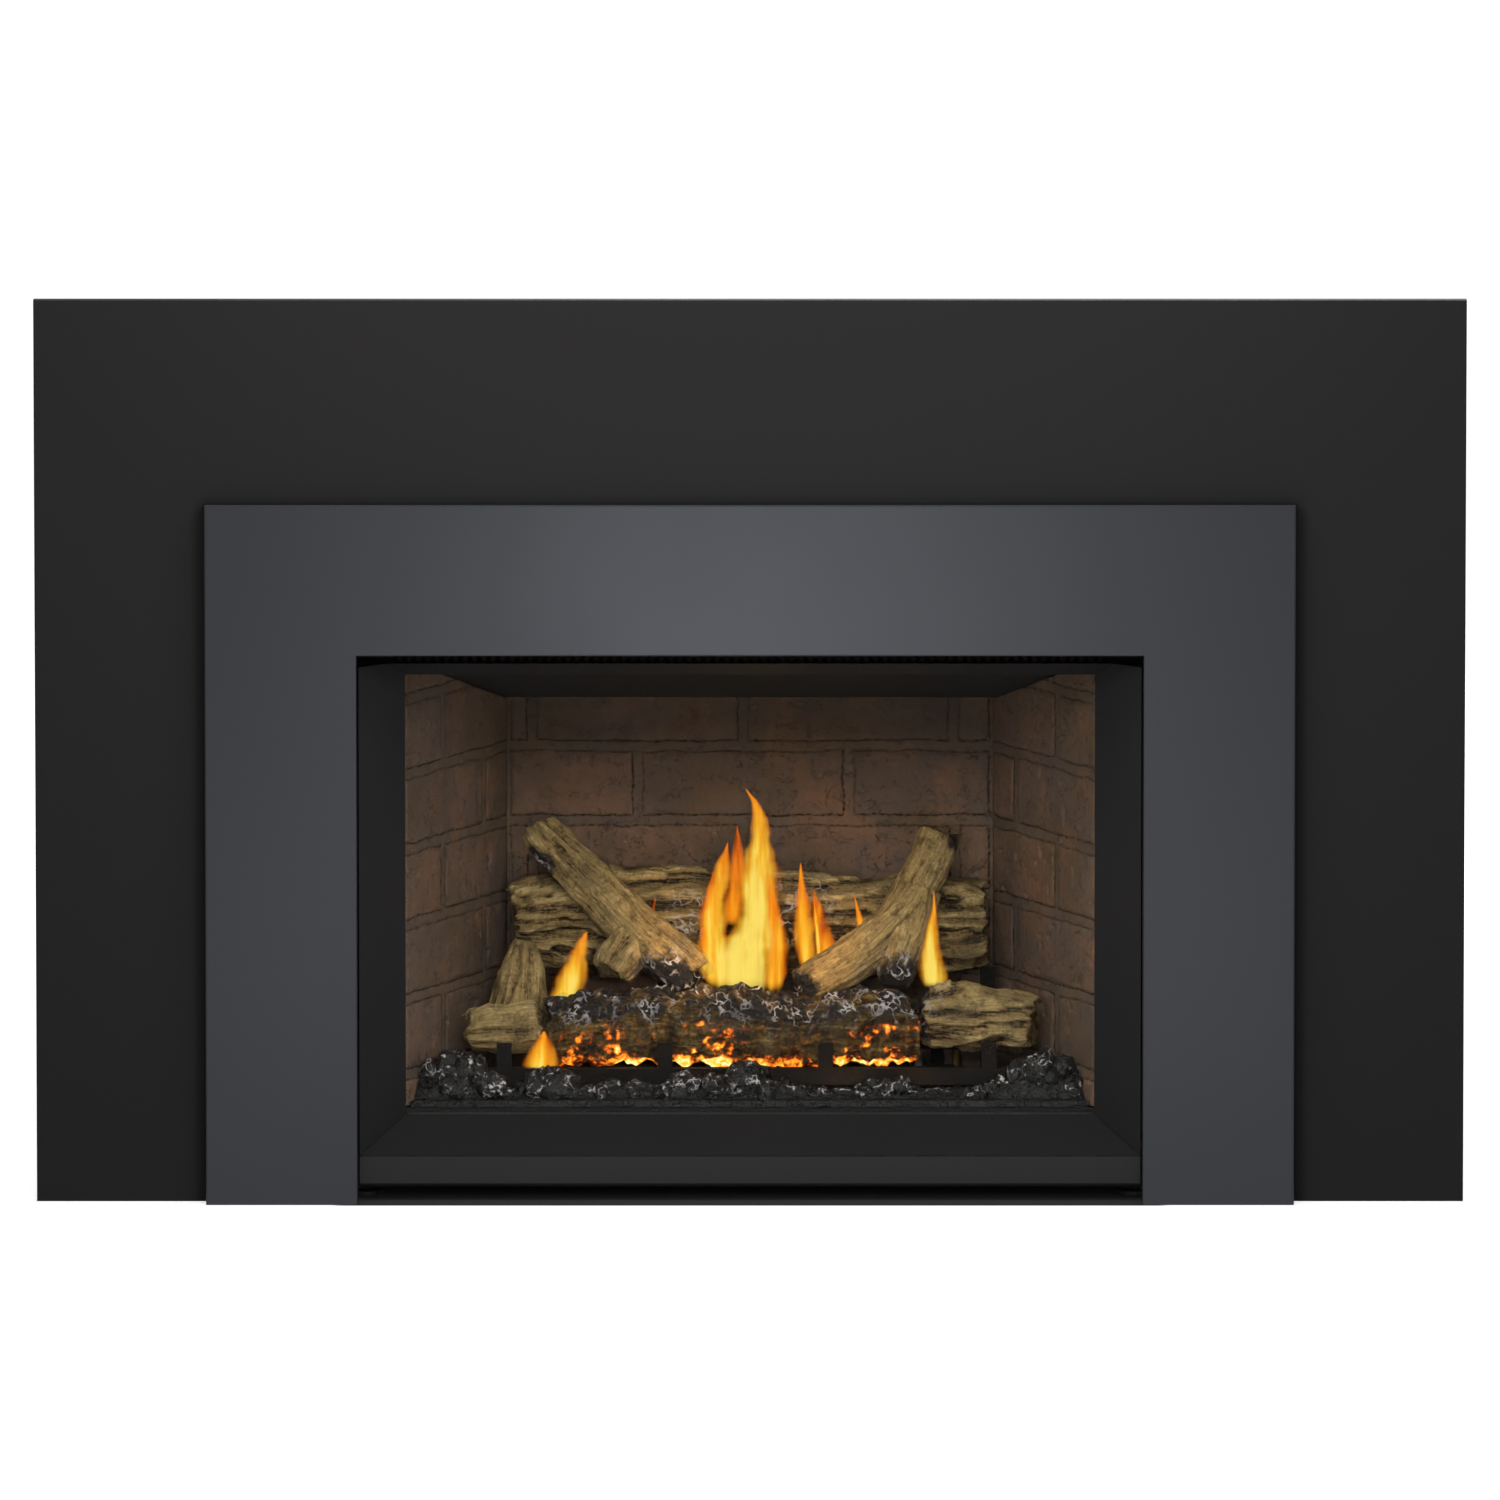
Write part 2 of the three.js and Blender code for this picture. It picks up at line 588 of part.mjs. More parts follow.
// A log is a capped cylinder bent along a curve. Its radius swells and shrinks with the
// distance t along it and the angle a round it, and draws in at both ends.
function log(points, radiusStart, radiusEnd, phase, swell = 0) {
  const curve = new THREE.CatmullRomCurve3(points.map(([x, d, z]) => new THREE.Vector3(x, d, z)));
  const rings = 7;
  const shape = new THREE.CylinderGeometry(1, 1, 1, 12, rings, false);
  const position = shape.attributes.position;
  const up = new THREE.Vector3(0, 0, 1);
  for (let i = 0; i < position.count; i += 1) {
    const t = position.getY(i) + 0.5;
    const reach = Math.min(1, Math.hypot(position.getX(i), position.getZ(i)));
    const a = Math.atan2(position.getZ(i), position.getX(i));
    const lumps = 0.05 * Math.sin(3 * a + 7 * t + phase);
    const knots = 0.04 * Math.sin(2 * a - 11 * t + 2 * phase);
    const taper = 1 - 0.22 * Math.pow(Math.abs(2 * t - 1), 8);
    const plain = radiusStart + (radiusEnd - radiusStart) * t;
    const radius = plain * (1 + lumps + knots) * taper + swell;
    const along = curve.getTangentAt(t);
    const side = new THREE.Vector3().crossVectors(along, up).normalize();
    const over = new THREE.Vector3().crossVectors(side, along).normalize();
    const place = curve.getPointAt(t);
    place.addScaledVector(side, reach * radius * Math.cos(a));
    place.addScaledVector(over, reach * radius * Math.sin(a));
    position.setXYZ(i, place.x, place.y, place.z);
  }
  return shape;
}

// Each log as [line, start radius, end radius, phase of its lumps].
const LOGS = {
  rear: [[[-176, 219, 181], [-60, 218, 186], [60, 218, 182], [176, 219, 182]], 34, 34, 0.4],
  frontLeft: [[[-211, 139, 110], [-184, 141, 112], [-154, 143, 115]], 15, 19, 1.3],
  centre: [[[-150, 143, 115.5], [-60, 142, 119], [40, 142, 118], [124, 143, 119]], 20, 22, 2.2],
  frontRight: [[[128, 143, 120], [170, 142, 119.5], [212, 138, 117]], 24, 21, 0.9],
  leftCross: [[[-158, 197, 256], [-110, 176, 206], [-38, 148, 146]], 15, 19, 1.7],
  leftBranch: [[[-104, 150, 151], [-90, 158, 170], [-78, 163, 180]], 15, 15, 0.2],
  rightCross: [[[142, 196, 254], [118, 178, 202], [36, 148, 141]], 16, 15, 2.9],
  rightFork: [[[106, 153, 145], [116, 166, 172], [128, 182, 214]], 14, 15, 0.8],
  stump: [[[-172, 174, 93.2], [-170, 176, 135], [-168, 180, 174]], 26, 9, 2.4],
};
const SEAT = 0.4;

function logSolid(name, swell = 0) {
  const [line, start, end, phase] = LOGS[name];
  return log(line, start, end, phase, swell);
}

const seats = (...names) => names.map((name) => logSolid(name, SEAT));
const belowBars = box(-CASE.half, CASE.half, 0, OVERALL_DEPTH, 0, BARS.top + GAP);
const belowPosts = box(-CASE.half, CASE.half, POST.front - EPS, POST.back + EPS, 0, POST.top + GAP);

add("rear_log", cut(logSolid("rear"), belowPosts), logTan);
add("front_left_log", cut(logSolid("frontLeft"), belowBars), logTan);
add("front_right_log", cut(logSolid("frontRight"), belowBars), logTan);
add("centre_charred_log", cut(logSolid("centre"), belowBars), charGrey);

const leftCross = join(logSolid("leftCross"), logSolid("leftBranch"));
add("left_cross_log", cut(leftCross, ...seats("rear", "centre", "frontLeft")), logTan);
const rightCross = join(logSolid("rightCross"), logSolid("rightFork"));
add("right_cross_log", cut(rightCross, ...seats("rear", "centre", "frontRight")), logTan);
const stumpSeats = seats("rear", "frontLeft", "centre", "leftCross");
add("left_stump_log", cut(logSolid("stump"), belowBars, ...stumpSeats), logTan);

// Charcoal bed in front of the grate: a slab whose top rises in lumps behind a bare ledge,
// with a heap at each end.
const EMBER = {
  front: 82, back: 110.5, half: 236, ledge: 66, ledgeBack: 88, slopeBack: 98,
  lump: 6, heap: 24, heapStart: 160, heapEnd: 225,
};
function emberHeight(x, d) {
  const rise = THREE.MathUtils.smoothstep(d, EMBER.ledgeBack, EMBER.slopeBack);
  const heap = EMBER.heap * THREE.MathUtils.smoothstep(Math.abs(x), EMBER.heapStart, EMBER.heapEnd);
  const waves = 4 * Math.sin(x * 0.14 + 1) + 3 * Math.sin(x * 0.33 + d * 0.5);
  return EMBER.ledge + rise * (EMBER.lump + waves + heap);
}

const emberGrid = new THREE.BoxGeometry(2 * EMBER.half, EMBER.back - EMBER.front, 1, 38, 3, 1);
emberGrid.translate(0, (EMBER.front + EMBER.back) / 2, 0);
const emberPosition = emberGrid.attributes.position;
for (let i = 0; i < emberPosition.count; i += 1) {
  const x = emberPosition.getX(i);
  const d = emberPosition.getY(i);
  const top = emberPosition.getZ(i) > 0;
  emberPosition.setZ(i, top ? emberHeight(x, d) : floorTop);
}
const emberPlan = mirrored([
  [brickHalf(EMBER.front) - BRICK.proud - 6, EMBER.front - 1],
  [brickHalf(EMBER.back) - BRICK.proud - 2, EMBER.back + 1],
]);
add("ember_bed", common(emberGrid, planPlate(emberPlan, 0, FIREBOX.roof)), charGrey);

// ---------------------------------------------------------------- pilot

const PILOT = { x: 140, d: 250, halfWidth: 22, halfDepth: 7, base: 2, spacing: 14, rod: 3 };
const pilotBase = box(
  PILOT.x - PILOT.halfWidth, PILOT.x + PILOT.halfWidth,
  PILOT.d - PILOT.halfDepth, PILOT.d + PILOT.halfDepth,
  floorTop, floorTop + PILOT.base,
);
const hoodProfile = [[0, 1], [5, 1], [5, 34], [8, 38], [8, 46], [0, 46]];
const pilotHood = turned(hoodProfile, PILOT.x, PILOT.d, floorTop, 16);
const pilotHoles = [-PILOT.spacing, PILOT.spacing].map((dx) =>
  turned(rod(PILOT.rod + 0.4, 10), PILOT.x + dx, PILOT.d, floorTop - 4, 12));
add("pilot_burner", cut(join(pilotBase, pilotHood), ...pilotHoles), galvanised);

const rodStart = GAP / 2;
const electrodeProfile = [
  [0, rodStart], [PILOT.rod, rodStart], [PILOT.rod, 26], [1.2, 28], [1.2, 42], [0, 42],
];
const electrodeX = PILOT.x - PILOT.spacing;
add("spark_electrode", turned(electrodeProfile, electrodeX, PILOT.d, floorTop, 12), ropeGrey);
const thermopileProfile = [[0, rodStart], [PILOT.rod, rodStart], [PILOT.rod, 44], [2, 46], [0, 46]];
const thermopileX = PILOT.x + PILOT.spacing;
add("thermopile", turned(thermopileProfile, thermopileX, PILOT.d, floorTop, 12), brass);

// ---------------------------------------------------------------- gas train

const VALVE = {
  left: 116, right: 204, front: 62, back: 112, bottom: 12, top: 44.5,
  capX: 140, capDepth: 96, notchWidth: 20, notchDepth: 18, notchBottom: 30,
};
const valveBlock = box(VALVE.left, VALVE.right, VALVE.front, VALVE.back, VALVE.bottom, VALVE.top);
const capProfile = [[0, -1], [13, -1], [13, 6], [10, 8], [0, 8]];
const valveCap = turned(capProfile, VALVE.capX, VALVE.capDepth, VALVE.top, 20);
const valveNotch = box(
  VALVE.left - 1, VALVE.left + VALVE.notchWidth,
  VALVE.front - 1, VALVE.front + VALVE.notchDepth,
  VALVE.notchBottom, VALVE.top + 1,
);
add("gas_valve", cut(join(valveBlock, valveCap), valveNotch), brass);

const inletStart = VALVE.right + GAP;
const inletReach = CASE.half + 0.4 - inletStart;
const inletProfile = [
  [0, 0], [GAS_INLET.tube, 0], [GAS_INLET.tube, inletReach], [GAS_INLET.hex, inletReach],
  [GAS_INLET.hex, inletReach + 15], [6.5, inletReach + 15], [6.5, inletReach + 3], [0, inletReach + 3],
];
add("gas_inlet_fitting", turnedAlongX(inletProfile, inletStart, GAS_INLET.d, GAS_INLET.z, 12), brass);

function ngon(radius, count) {
  const points = [];
  for (let i = 0; i < count; i += 1) {
    const a = (2 * Math.PI * i) / count;
    points.push([radius * Math.cos(a), radius * Math.sin(a)]);
  }
  return points;
}

const riserCurve = new THREE.CatmullRomCurve3([
  [176, VALVE.back + 0.4, 30], [176, 132, 30], [176, 154, 33], [176, 164, 42],
  [GAS_RISER.x, GAS_RISER.d, 56], [GAS_RISER.x, GAS_RISER.d, 66],
  [173, GAS_RISER.d, 71], [165, GAS_RISER.d, VENTURI.z],
].map(([x, d, z]) => new THREE.Vector3(x, d, z)));
const riserSteps = { steps: 18, bevelEnabled: false, extrudePath: riserCurve };
add("gas_supply_tube", new THREE.ExtrudeGeometry(outline(ngon(3.5, 8)), riserSteps), brass);

// ---------------------------------------------------------------- controls

const bracketBack = BRACKET.front + BRACKET.sheet;
const bracketBottom = panTop + GAP;
const bracketPlate = box(
  BRACKET.left, BRACKET.right, BRACKET.front, bracketBack, bracketBottom, BRACKET.top,
);
const IGNITER = { x: 232, hole: 3.4, body: 8, back: 96, bore: 14, buttonBack: 71 };
const igniterHole = turnedToFront(rod(IGNITER.hole, 20), IGNITER.x, BRACKET.front + 10, KNOB_Z, 16);
add("control_bracket", cut(bracketPlate, igniterHole), galvanised);

const igniterLength = IGNITER.back - bracketBack - GAP;
const igniterProfile = [
  [0, 0], [IGNITER.body, 0], [IGNITER.body, igniterLength],
  [IGNITER.hole, igniterLength], [IGNITER.hole, IGNITER.bore], [0, IGNITER.bore],
];
const igniterBody = turnedToFront(igniterProfile, IGNITER.x, IGNITER.back, KNOB_Z, 16);
add("igniter_body", igniterBody, blackPlastic);

const buttonProfile = [[0, 0], [3, 0], [3, 17], [7, 17], [7, 21], [5.5, 22], [0, 22]];
const button = turnedToFront(buttonProfile, IGNITER.x, IGNITER.buttonBack, KNOB_Z, 16);
add("igniter_button", button, blackPlastic);

// A knob is a skirted disc with a finger ridge across its face.
function knob(radius, length, x) {
  const back = BRACKET.front - GAP;
  const neck = radius * 0.8;
  const face = length - 3;
  const profile = [[0, 0], [radius, 0], [radius, 3], [neck, 4.5], [neck, face], [0, face]];
  const body = turnedToFront(profile, x, back, KNOB_Z, 20);
  const front = back - length;
  const reach = radius * 0.7;
  const ridge = box(x - 1.8, x + 1.8, front, front + 5, KNOB_Z - reach, KNOB_Z + reach);
  return join(body, ridge);
}

const KNOBS = { gas: 134, flame: 176, fan: 266 };
add("gas_valve_knob", knob(12, 14, KNOBS.gas), blackPlastic);
add("flame_height_knob", knob(10, 13, KNOBS.flame), blackPlastic);
add("fan_speed_dial", knob(11, 12, KNOBS.fan), blackPlastic);

// ---------------------------------------------------------------- blower

function arcPoints(radius, from, to, count) {
  const points = [];
  for (let i = 0; i <= count; i += 1) {
    const a = THREE.MathUtils.degToRad(from + ((to - from) * i) / count);
    points.push([BLOWER.d + radius * Math.cos(a), BLOWER.z + radius * Math.sin(a)]);
  }
  return points;
}

// The scroll wraps the wheel from below the front, round the back, to the top outlet.
const scrollSection = [
  ...arcPoints(BLOWER.scroll + 1.5, -120, 80, 16),
  ...arcPoints(BLOWER.scroll, -120, 80, 16).reverse(),
];
const endPlate = (x) => cut(
  box(x, x + 2, BLOWER.d - 38, BLOWER.d + 38, BLOWER.z - 38, BLOWER.z + 38),
  turnedAlongX(rod(4, 20), x - 9, BLOWER.d, BLOWER.z, 16),
);
const scroll = join(
  sectionBar(scrollSection, BLOWER.left, BLOWER.right),
  endPlate(BLOWER.left - 1.5),
  endPlate(BLOWER.right - 0.5),
);
add("blower_housing", scroll, galvanised);

const WHEEL = { left: -140, right: 102, blades: 12, shaft: 3 };
const wheelParts = [];
for (const x of [WHEEL.left, WHEEL.right - 2]) {
  wheelParts.push(turnedAlongX(rod(BLOWER.wheel, 2), x, 0, 0, 24));
}
for (let i = 0; i < WHEEL.blades; i += 1) {
  const blade = box(WHEEL.left + 1, WHEEL.right - 1, 20, 26.5, -0.7, 0.7);
  wheelParts.push(blade.rotateX((2 * Math.PI * i) / WHEEL.blades));
}
const shaftStart = BLOWER.left - 3;
const shaftEnd = BLOWER.right + 1.5;
wheelParts.push(turnedAlongX(rod(WHEEL.shaft, shaftEnd - shaftStart), shaftStart, 0, 0, 12));
add("blower_wheel", join(...wheelParts).translate(0, BLOWER.d, BLOWER.z), blackPaint);

const motorProfile = [[0, 0], [24, 0], [27, 3], [27, 34], [22, 38], [0, 38]];
add("blower_motor", turnedAlongX(motorProfile, shaftEnd + 0.5, BLOWER.d, BLOWER.z, 20), castBlack);

const INLET = { d: 344, z: 50, outer: 12, halfDepth: 17, halfHeight: 13, rim: 4, back: 2.5 };
const inletWall = -CASE.half - GAP;
const inletFace = inletWall - INLET.outer;
const inletBody = box(
  inletFace, inletWall,
  INLET.d - INLET.halfDepth, INLET.d + INLET.halfDepth,
  INLET.z - INLET.halfHeight, INLET.z + INLET.halfHeight,
);
const inletSocket = box(
  inletFace - EPS, inletWall - INLET.back,
  INLET.d - INLET.halfDepth + INLET.rim, INLET.d + INLET.halfDepth - INLET.rim,
  INLET.z - INLET.halfHeight + INLET.rim, INLET.z + INLET.halfHeight - INLET.rim,
);
add("power_inlet", cut(inletBody, inletSocket), blackPlastic);

// ---------------------------------------------------------------- vent collars

const collarBottom = FIREBOX.roof + CASE.sheet + GAP;
const collarFootTop = collarBottom + 1.7;
const collarFlangeTop = CASE.top + GAP + 2;
const collarProfile = closed([
  [COLLAR.inner, collarBottom], [COLLAR.foot, collarBottom], [COLLAR.foot, collarFootTop],
  [COLLAR.outer, collarFootTop], [COLLAR.outer, CASE.top + GAP], [COLLAR.flange, CASE.top + GAP],
  [COLLAR.flange, collarFlangeTop], [COLLAR.outer, collarFlangeTop], [COLLAR.outer, COLLAR.top],
  [COLLAR.inner, COLLAR.top],
]);
add("exhaust_collar", turned(collarProfile, -COLLAR.x, COLLAR.d, 0, 20), galvanised);
add("air_intake_collar", turned(collarProfile, COLLAR.x, COLLAR.d, 0, 20), galvanised);

export default insert;
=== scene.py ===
"""Direct-vent gas fireplace insert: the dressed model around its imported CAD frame.

Units are metres, in the frame of the CAD part: X to the right, Y away from the room, Z up, with
the origin at the bottom centre. FACE is the Y of the front surround's face.
"""

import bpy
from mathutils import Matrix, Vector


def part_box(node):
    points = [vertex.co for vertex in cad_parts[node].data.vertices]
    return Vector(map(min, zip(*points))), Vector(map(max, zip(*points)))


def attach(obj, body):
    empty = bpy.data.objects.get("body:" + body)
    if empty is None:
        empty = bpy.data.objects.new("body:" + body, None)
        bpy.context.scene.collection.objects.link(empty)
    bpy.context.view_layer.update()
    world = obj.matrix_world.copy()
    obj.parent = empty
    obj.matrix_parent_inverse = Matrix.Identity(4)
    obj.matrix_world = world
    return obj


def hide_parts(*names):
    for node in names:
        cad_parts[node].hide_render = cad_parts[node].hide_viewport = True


bl_info = {
    "name": "Gas fireplace insert",
    "version": (1, 0, 0),
    "blender": (4, 5, 0),
    "location": "View3D > Sidebar > Fireplace",
    "description": "Builds the sheet metal, brick liners, log set, fire and stage of a gas insert",
    "category": "Add Mesh",
}

import math

import bpy
import numpy as np
from mathutils import Vector

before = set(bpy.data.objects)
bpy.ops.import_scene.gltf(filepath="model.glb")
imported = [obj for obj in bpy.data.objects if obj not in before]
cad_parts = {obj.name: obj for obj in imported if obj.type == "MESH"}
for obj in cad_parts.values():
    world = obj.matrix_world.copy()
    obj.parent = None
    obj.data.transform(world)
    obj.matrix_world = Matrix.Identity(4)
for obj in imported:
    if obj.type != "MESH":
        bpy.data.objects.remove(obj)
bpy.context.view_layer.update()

FACE = -0.2
FIREBOX_FRONT = FACE + 0.080
FIREBOX_REAR = FACE + 0.264
FRONT_HALF, REAR_HALF = 0.256, 0.182
SPLAY = math.atan2(FRONT_HALF - REAR_HALF, FIREBOX_REAR - FIREBOX_FRONT)
CEILING_FRONT, CEILING_REAR = 0.3955, 0.345

CELLS = 64
LATTICE = np.random.default_rng(11).random((CELLS, CELLS, CELLS))
BLACK, WHITE = (0.0, 0.0, 0.0), (1.0, 1.0, 1.0)


# ------------------------------------------------------------------ colours and noise


def linear(hex_colour):
    """Linear RGB of a colour written as rrggbb."""
    channels = [int(hex_colour[i:i + 2], 16) / 255 for i in (0, 2, 4)]
    return tuple(c / 12.92 if c <= 0.04045 else ((c + 0.055) / 1.055) ** 2.4 for c in channels)


def rgba(colour):
    """Linear colour with full alpha, from a linear colour or from one written as rrggbb."""
    red, green, blue = linear(colour) if isinstance(colour, str) else colour
    return red, green, blue, 1.0


def shaded(colour, *factors):
    """A linear colour with its channels multiplied by one factor or by three."""
    return tuple(min(1.0, c * f) for c, f in zip(colour, factors * (3 // len(factors))))


def smooth(value, low, high):
    """0 below low, 1 above high, and the smooth cubic step between them."""
    part = np.clip((value - low) / (high - low), 0, 1)
    return part * part * (3 - 2 * part)


def noise(points, scale, seed=0):
    """Lattice noise from 0 to 1: the eight lattice values round a point, blended by the smooth
    step of its place among them. scale is cells to the metre, or a triple of them."""
    cell = points * scale + seed * 7.31
    base = np.floor(cell).astype(int)
    part = smooth(cell - base, 0, 1)
    total = np.zeros(points.shape[:-1])
    for corner in np.ndindex(2, 2, 2):
        weight = np.prod(np.where(corner, part, 1 - part), axis=-1)
        i, j, k = ((base[..., n] + corner[n]) % CELLS for n in range(3))
        total += weight * LATTICE[i, j, k]
    return total


def layered(points, scale, octaves, seed=0, fold=lambda level: level):
    """Sum of octaves of folded noise, each twice as fine and half as strong, from 0 to 1."""
    weights = [0.5 ** n for n in range(octaves)]
    layers = [w * fold(noise(points, scale * 2 ** n, seed + n)) for n, w in enumerate(weights)]
    return sum(layers) / sum(weights)


def ridged(points, scale, octaves, seed=0):
    """The same sum of 1 - |2n - 1|, which has sharp crests where a noise n passes one half."""
    return layered(points, scale, octaves, seed, lambda level: 1 - np.abs(2 * level - 1))


def spline(rows, steps):
    """Evenly numbered places on the Catmull-Rom curve through rows of any width."""
    rows = np.asarray(rows, float)
    padded = np.concatenate([2 * rows[:1] - rows[1:2], rows, 2 * rows[-1:] - rows[-2:-1]])
    t = np.linspace(0, len(rows) - 1, steps)
    i = np.minimum(t.astype(int), len(rows) - 2)
    f = (t - i)[:, None]
    a, b, c, d = (padded[i + k] for k in range(4))
    return 0.5 * (2 * b + (c - a) * f + (2 * a - 5 * b + 4 * c - d) * f ** 2
                  + (3 * b - a - 3 * c + d) * f ** 3)


def cell_distance(points, scale, seed=0):
    """Distance, in cells, to the nearest of one jittered point in each lattice cell."""
    cell = points * scale + seed * 3.17
    base = np.floor(cell).astype(int)
    nearest = np.full(points.shape[:-1], 9.0)
    for offset in np.ndindex(3, 3, 3):
        corner = base + np.array(offset) - 1
        i, j, k = (corner[..., n] % CELLS for n in range(3))
        jitter = np.stack([LATTICE[i, j, k], LATTICE[j, k, i], LATTICE[k, i, j]], axis=-1)
        nearest = np.minimum(nearest, np.linalg.norm(corner + jitter - cell, axis=-1))
    return nearest


# ------------------------------------------------------------------ meshes


def mesh_piece(name, points, faces, material, body="root", stands_for=(), slot=None,
               uv=None, values=None, flat_angle=None):
    """A piece from points (n, 3) and faces, riding on a body.

    uv is (n, 2); values are named floats on the points. Edges sharper than flat_angle degrees
    stay crisp, and the rest is smooth."""
    mesh = bpy.data.meshes.new(name)
    mesh.from_pydata(points, [], faces)
    mesh.update(calc_edges=True)
    if uv is not None:
        corner = np.zeros(len(mesh.loops), int)
        mesh.loops.foreach_get("vertex_index", corner)
        layer = mesh.uv_layers.new(name="Surface")
        layer.data.foreach_set("uv", uv[corner].astype(np.float32).ravel())
    for label, value in (values or {}).items():
        attribute = mesh.attributes.new(label, "FLOAT", "POINT")
        attribute.data.foreach_set("value", np.asarray(value, np.float32).ravel())
    mesh.shade_smooth()
    if flat_angle is not None:
        mesh.set_sharp_from_angle(angle=math.radians(flat_angle))
    mesh.materials.append(material)
    piece = bpy.data.objects.new(name, mesh)
    bpy.context.scene.collection.objects.link(piece)
    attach(piece, body)
    if stands_for:
        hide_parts(*stands_for)
    return piece


def grid_faces(rows, columns, wrap_columns=False):
    """Quads of a grid of points numbered row by row, joined round where it wraps."""
    i = np.arange(rows - 1)[:, None]
    j = np.arange(columns if wrap_columns else columns - 1)[None, :]
    right = (j + 1) % columns
    quads = [i * columns + j, (i + 1) * columns + j, (i + 1) * columns + right,
             i * columns + right]
    return np.stack(np.broadcast_arrays(*quads), axis=-1).reshape(-1, 4)


def with_ends(level):
    """Values on the rings of a tube, followed by the mean of each end ring for its pole."""
    width = level.shape[2:]
    return np.concatenate([level.reshape(-1, *width), level[[0, -1]].mean(axis=1)])


def tube_piece(name, tubes, material, **facts):
    """One piece of tubes, each closed on the centre of its end rings.

    A tube is its rings (m, n, 3), its named values (m, n), and its surface map (m, n, 2)."""
    points, faces, maps, packed, count = [], [], [], {}, 0
    for rings, values, *surface in tubes:
        m, n, _ = rings.shape
        j = np.arange(n)
        after = (j + 1) % n
        first = np.stack([np.full(n, m * n), j, after], axis=-1)
        last = np.stack([np.full(n, m * n + 1), (m - 1) * n + after, (m - 1) * n + j], axis=-1)
        for part in (grid_faces(m, n, wrap_columns=True), first, last):
            faces += (part + count).tolist()
        points.append(with_ends(rings))
        count += m * n + 2
        maps += [np.concatenate([s.reshape(-1, 2), s[[0, -1], 0]]) for s in surface]
        for label, level in values.items():
            packed.setdefault(label, []).append(with_ends(level))
    values = {label: np.concatenate(levels) for label, levels in packed.items()}
    uv = np.concatenate(maps) if maps else None
    return mesh_piece(name, np.concatenate(points), faces, material, uv=uv, values=values, **facts)


def add_thickness(piece, thickness):
    """Gives a sheet its thickness on the side away from its normals, and keeps the shading of
    its flat faces flat beside the bends."""
    solidify = piece.modifiers.new("Sheet", "SOLIDIFY")
    solidify.thickness = thickness
    solidify.offset = -1
    solidify.use_even_offset = True
    weighted = piece.modifiers.new("Flat faces", "WEIGHTED_NORMAL")
    weighted.weight = 100
    weighted.keep_sharp = True
    return piece


def quarter_bend(radius, start, end):
    """Points (a, b) of an arc about the origin, from one angle in degrees to another."""
    angle = np.radians(np.linspace(start, end, 5))
    return radius * np.stack([np.cos(angle), np.sin(angle)], axis=-1)


# ------------------------------------------------------------------ user values


def length(name, description, default):
    return bpy.props.FloatProperty(
        name=name, description=description, default=default, min=0.0, unit="LENGTH",
        subtype="DISTANCE", precision=4,
    )


def colour(name, description, default):
    return bpy.props.FloatVectorProperty(
        name=name, description=description, default=linear(default), min=0.0, max=1.0,
        size=3, subtype="COLOR",
    )


class InsertSizes(bpy.types.PropertyGroup):
    """Sizes that shape the sheet metal, the liners, the logs and the fire."""

    bend_radius: length("Bend radius", "Outside radius of the folded sheet edges", 0.0016)
    sheet: length("Sheet", "Thickness of the backer and surround sheet", 0.002)
    brick_length: length("Brick length", "Length of a moulded brick", 0.1485)
    brick_height: length("Brick height", "Height of a moulded brick", 0.047)
    mortar: length("Mortar", "Width of the joints between bricks", 0.009)
    brick_proud: length("Brick relief", "How far the bricks stand out of the mortar", 0.003)
    bark_depth: length("Bark depth", "Depth of the grain on the logs", 0.0045)
    charcoal: length("Charcoal lump", "Mean radius of the loose charcoal lumps", 0.0052)
    flame_bulge: length("Flame bulge", "Half thickness of a flame at its middle", 0.006)


class InsertColours(bpy.types.PropertyGroup):
    """Colours of the painted, moulded and burning parts."""

    surround: colour("Surround", "Blue-grey metallic paint of the front surround", "303134")
    backer: colour("Backer", "Neutral satin paint of the backer plate", "252425")
    bezel: colour("Bezel", "Satin black of the bezel round the glass", "1c1c1d")
    brick: colour("Brick", "Middle brown of the bricks", "766256")
    mortar: colour("Mortar", "Brown grey of the joints", "6e5e51")
    # Soot, and the painted shade of the dark line below each brick and under the ceiling.
    soot_and_shade: colour("Soot", "Dark lines under the bricks and smoke", "17110e")
    bark: colour("Bark", "Middle tan of the logs", "937a51")
    # The crest and groove colours hold painted highlight and painted shade as well as the grain's
    # own tones.
    bark_crest_and_highlight: colour("Bark crest", "Light crests of the log grain", "d8bd88")
    bark_groove_and_shade: colour("Bark groove", "Dark grooves of the log grain", "2e2415")
    # Pale ash, partly painted glints of light on the crests of crusts and charcoal.
    char: colour("Char", "Burnt places on the logs", "17130f")
    ash: colour("Ash", "White-grey ash on the burnt crust", "cac5c6")
    flame_core: colour("Flame core", "Pale yellow heart of a flame", "ffe066")
    flame_edge: colour("Flame edge", "Orange rim of a flame", "ff7a14")
    galvanised: colour("Galvanised", "Zinc coating of the hidden case", "a3a7a9")
    brass: colour("Brass", "Gas valve and fittings", "b08d4a")
    plastic: colour("Plastic", "Control knobs and mains socket", "19191b")


# ------------------------------------------------------------------ shader helpers


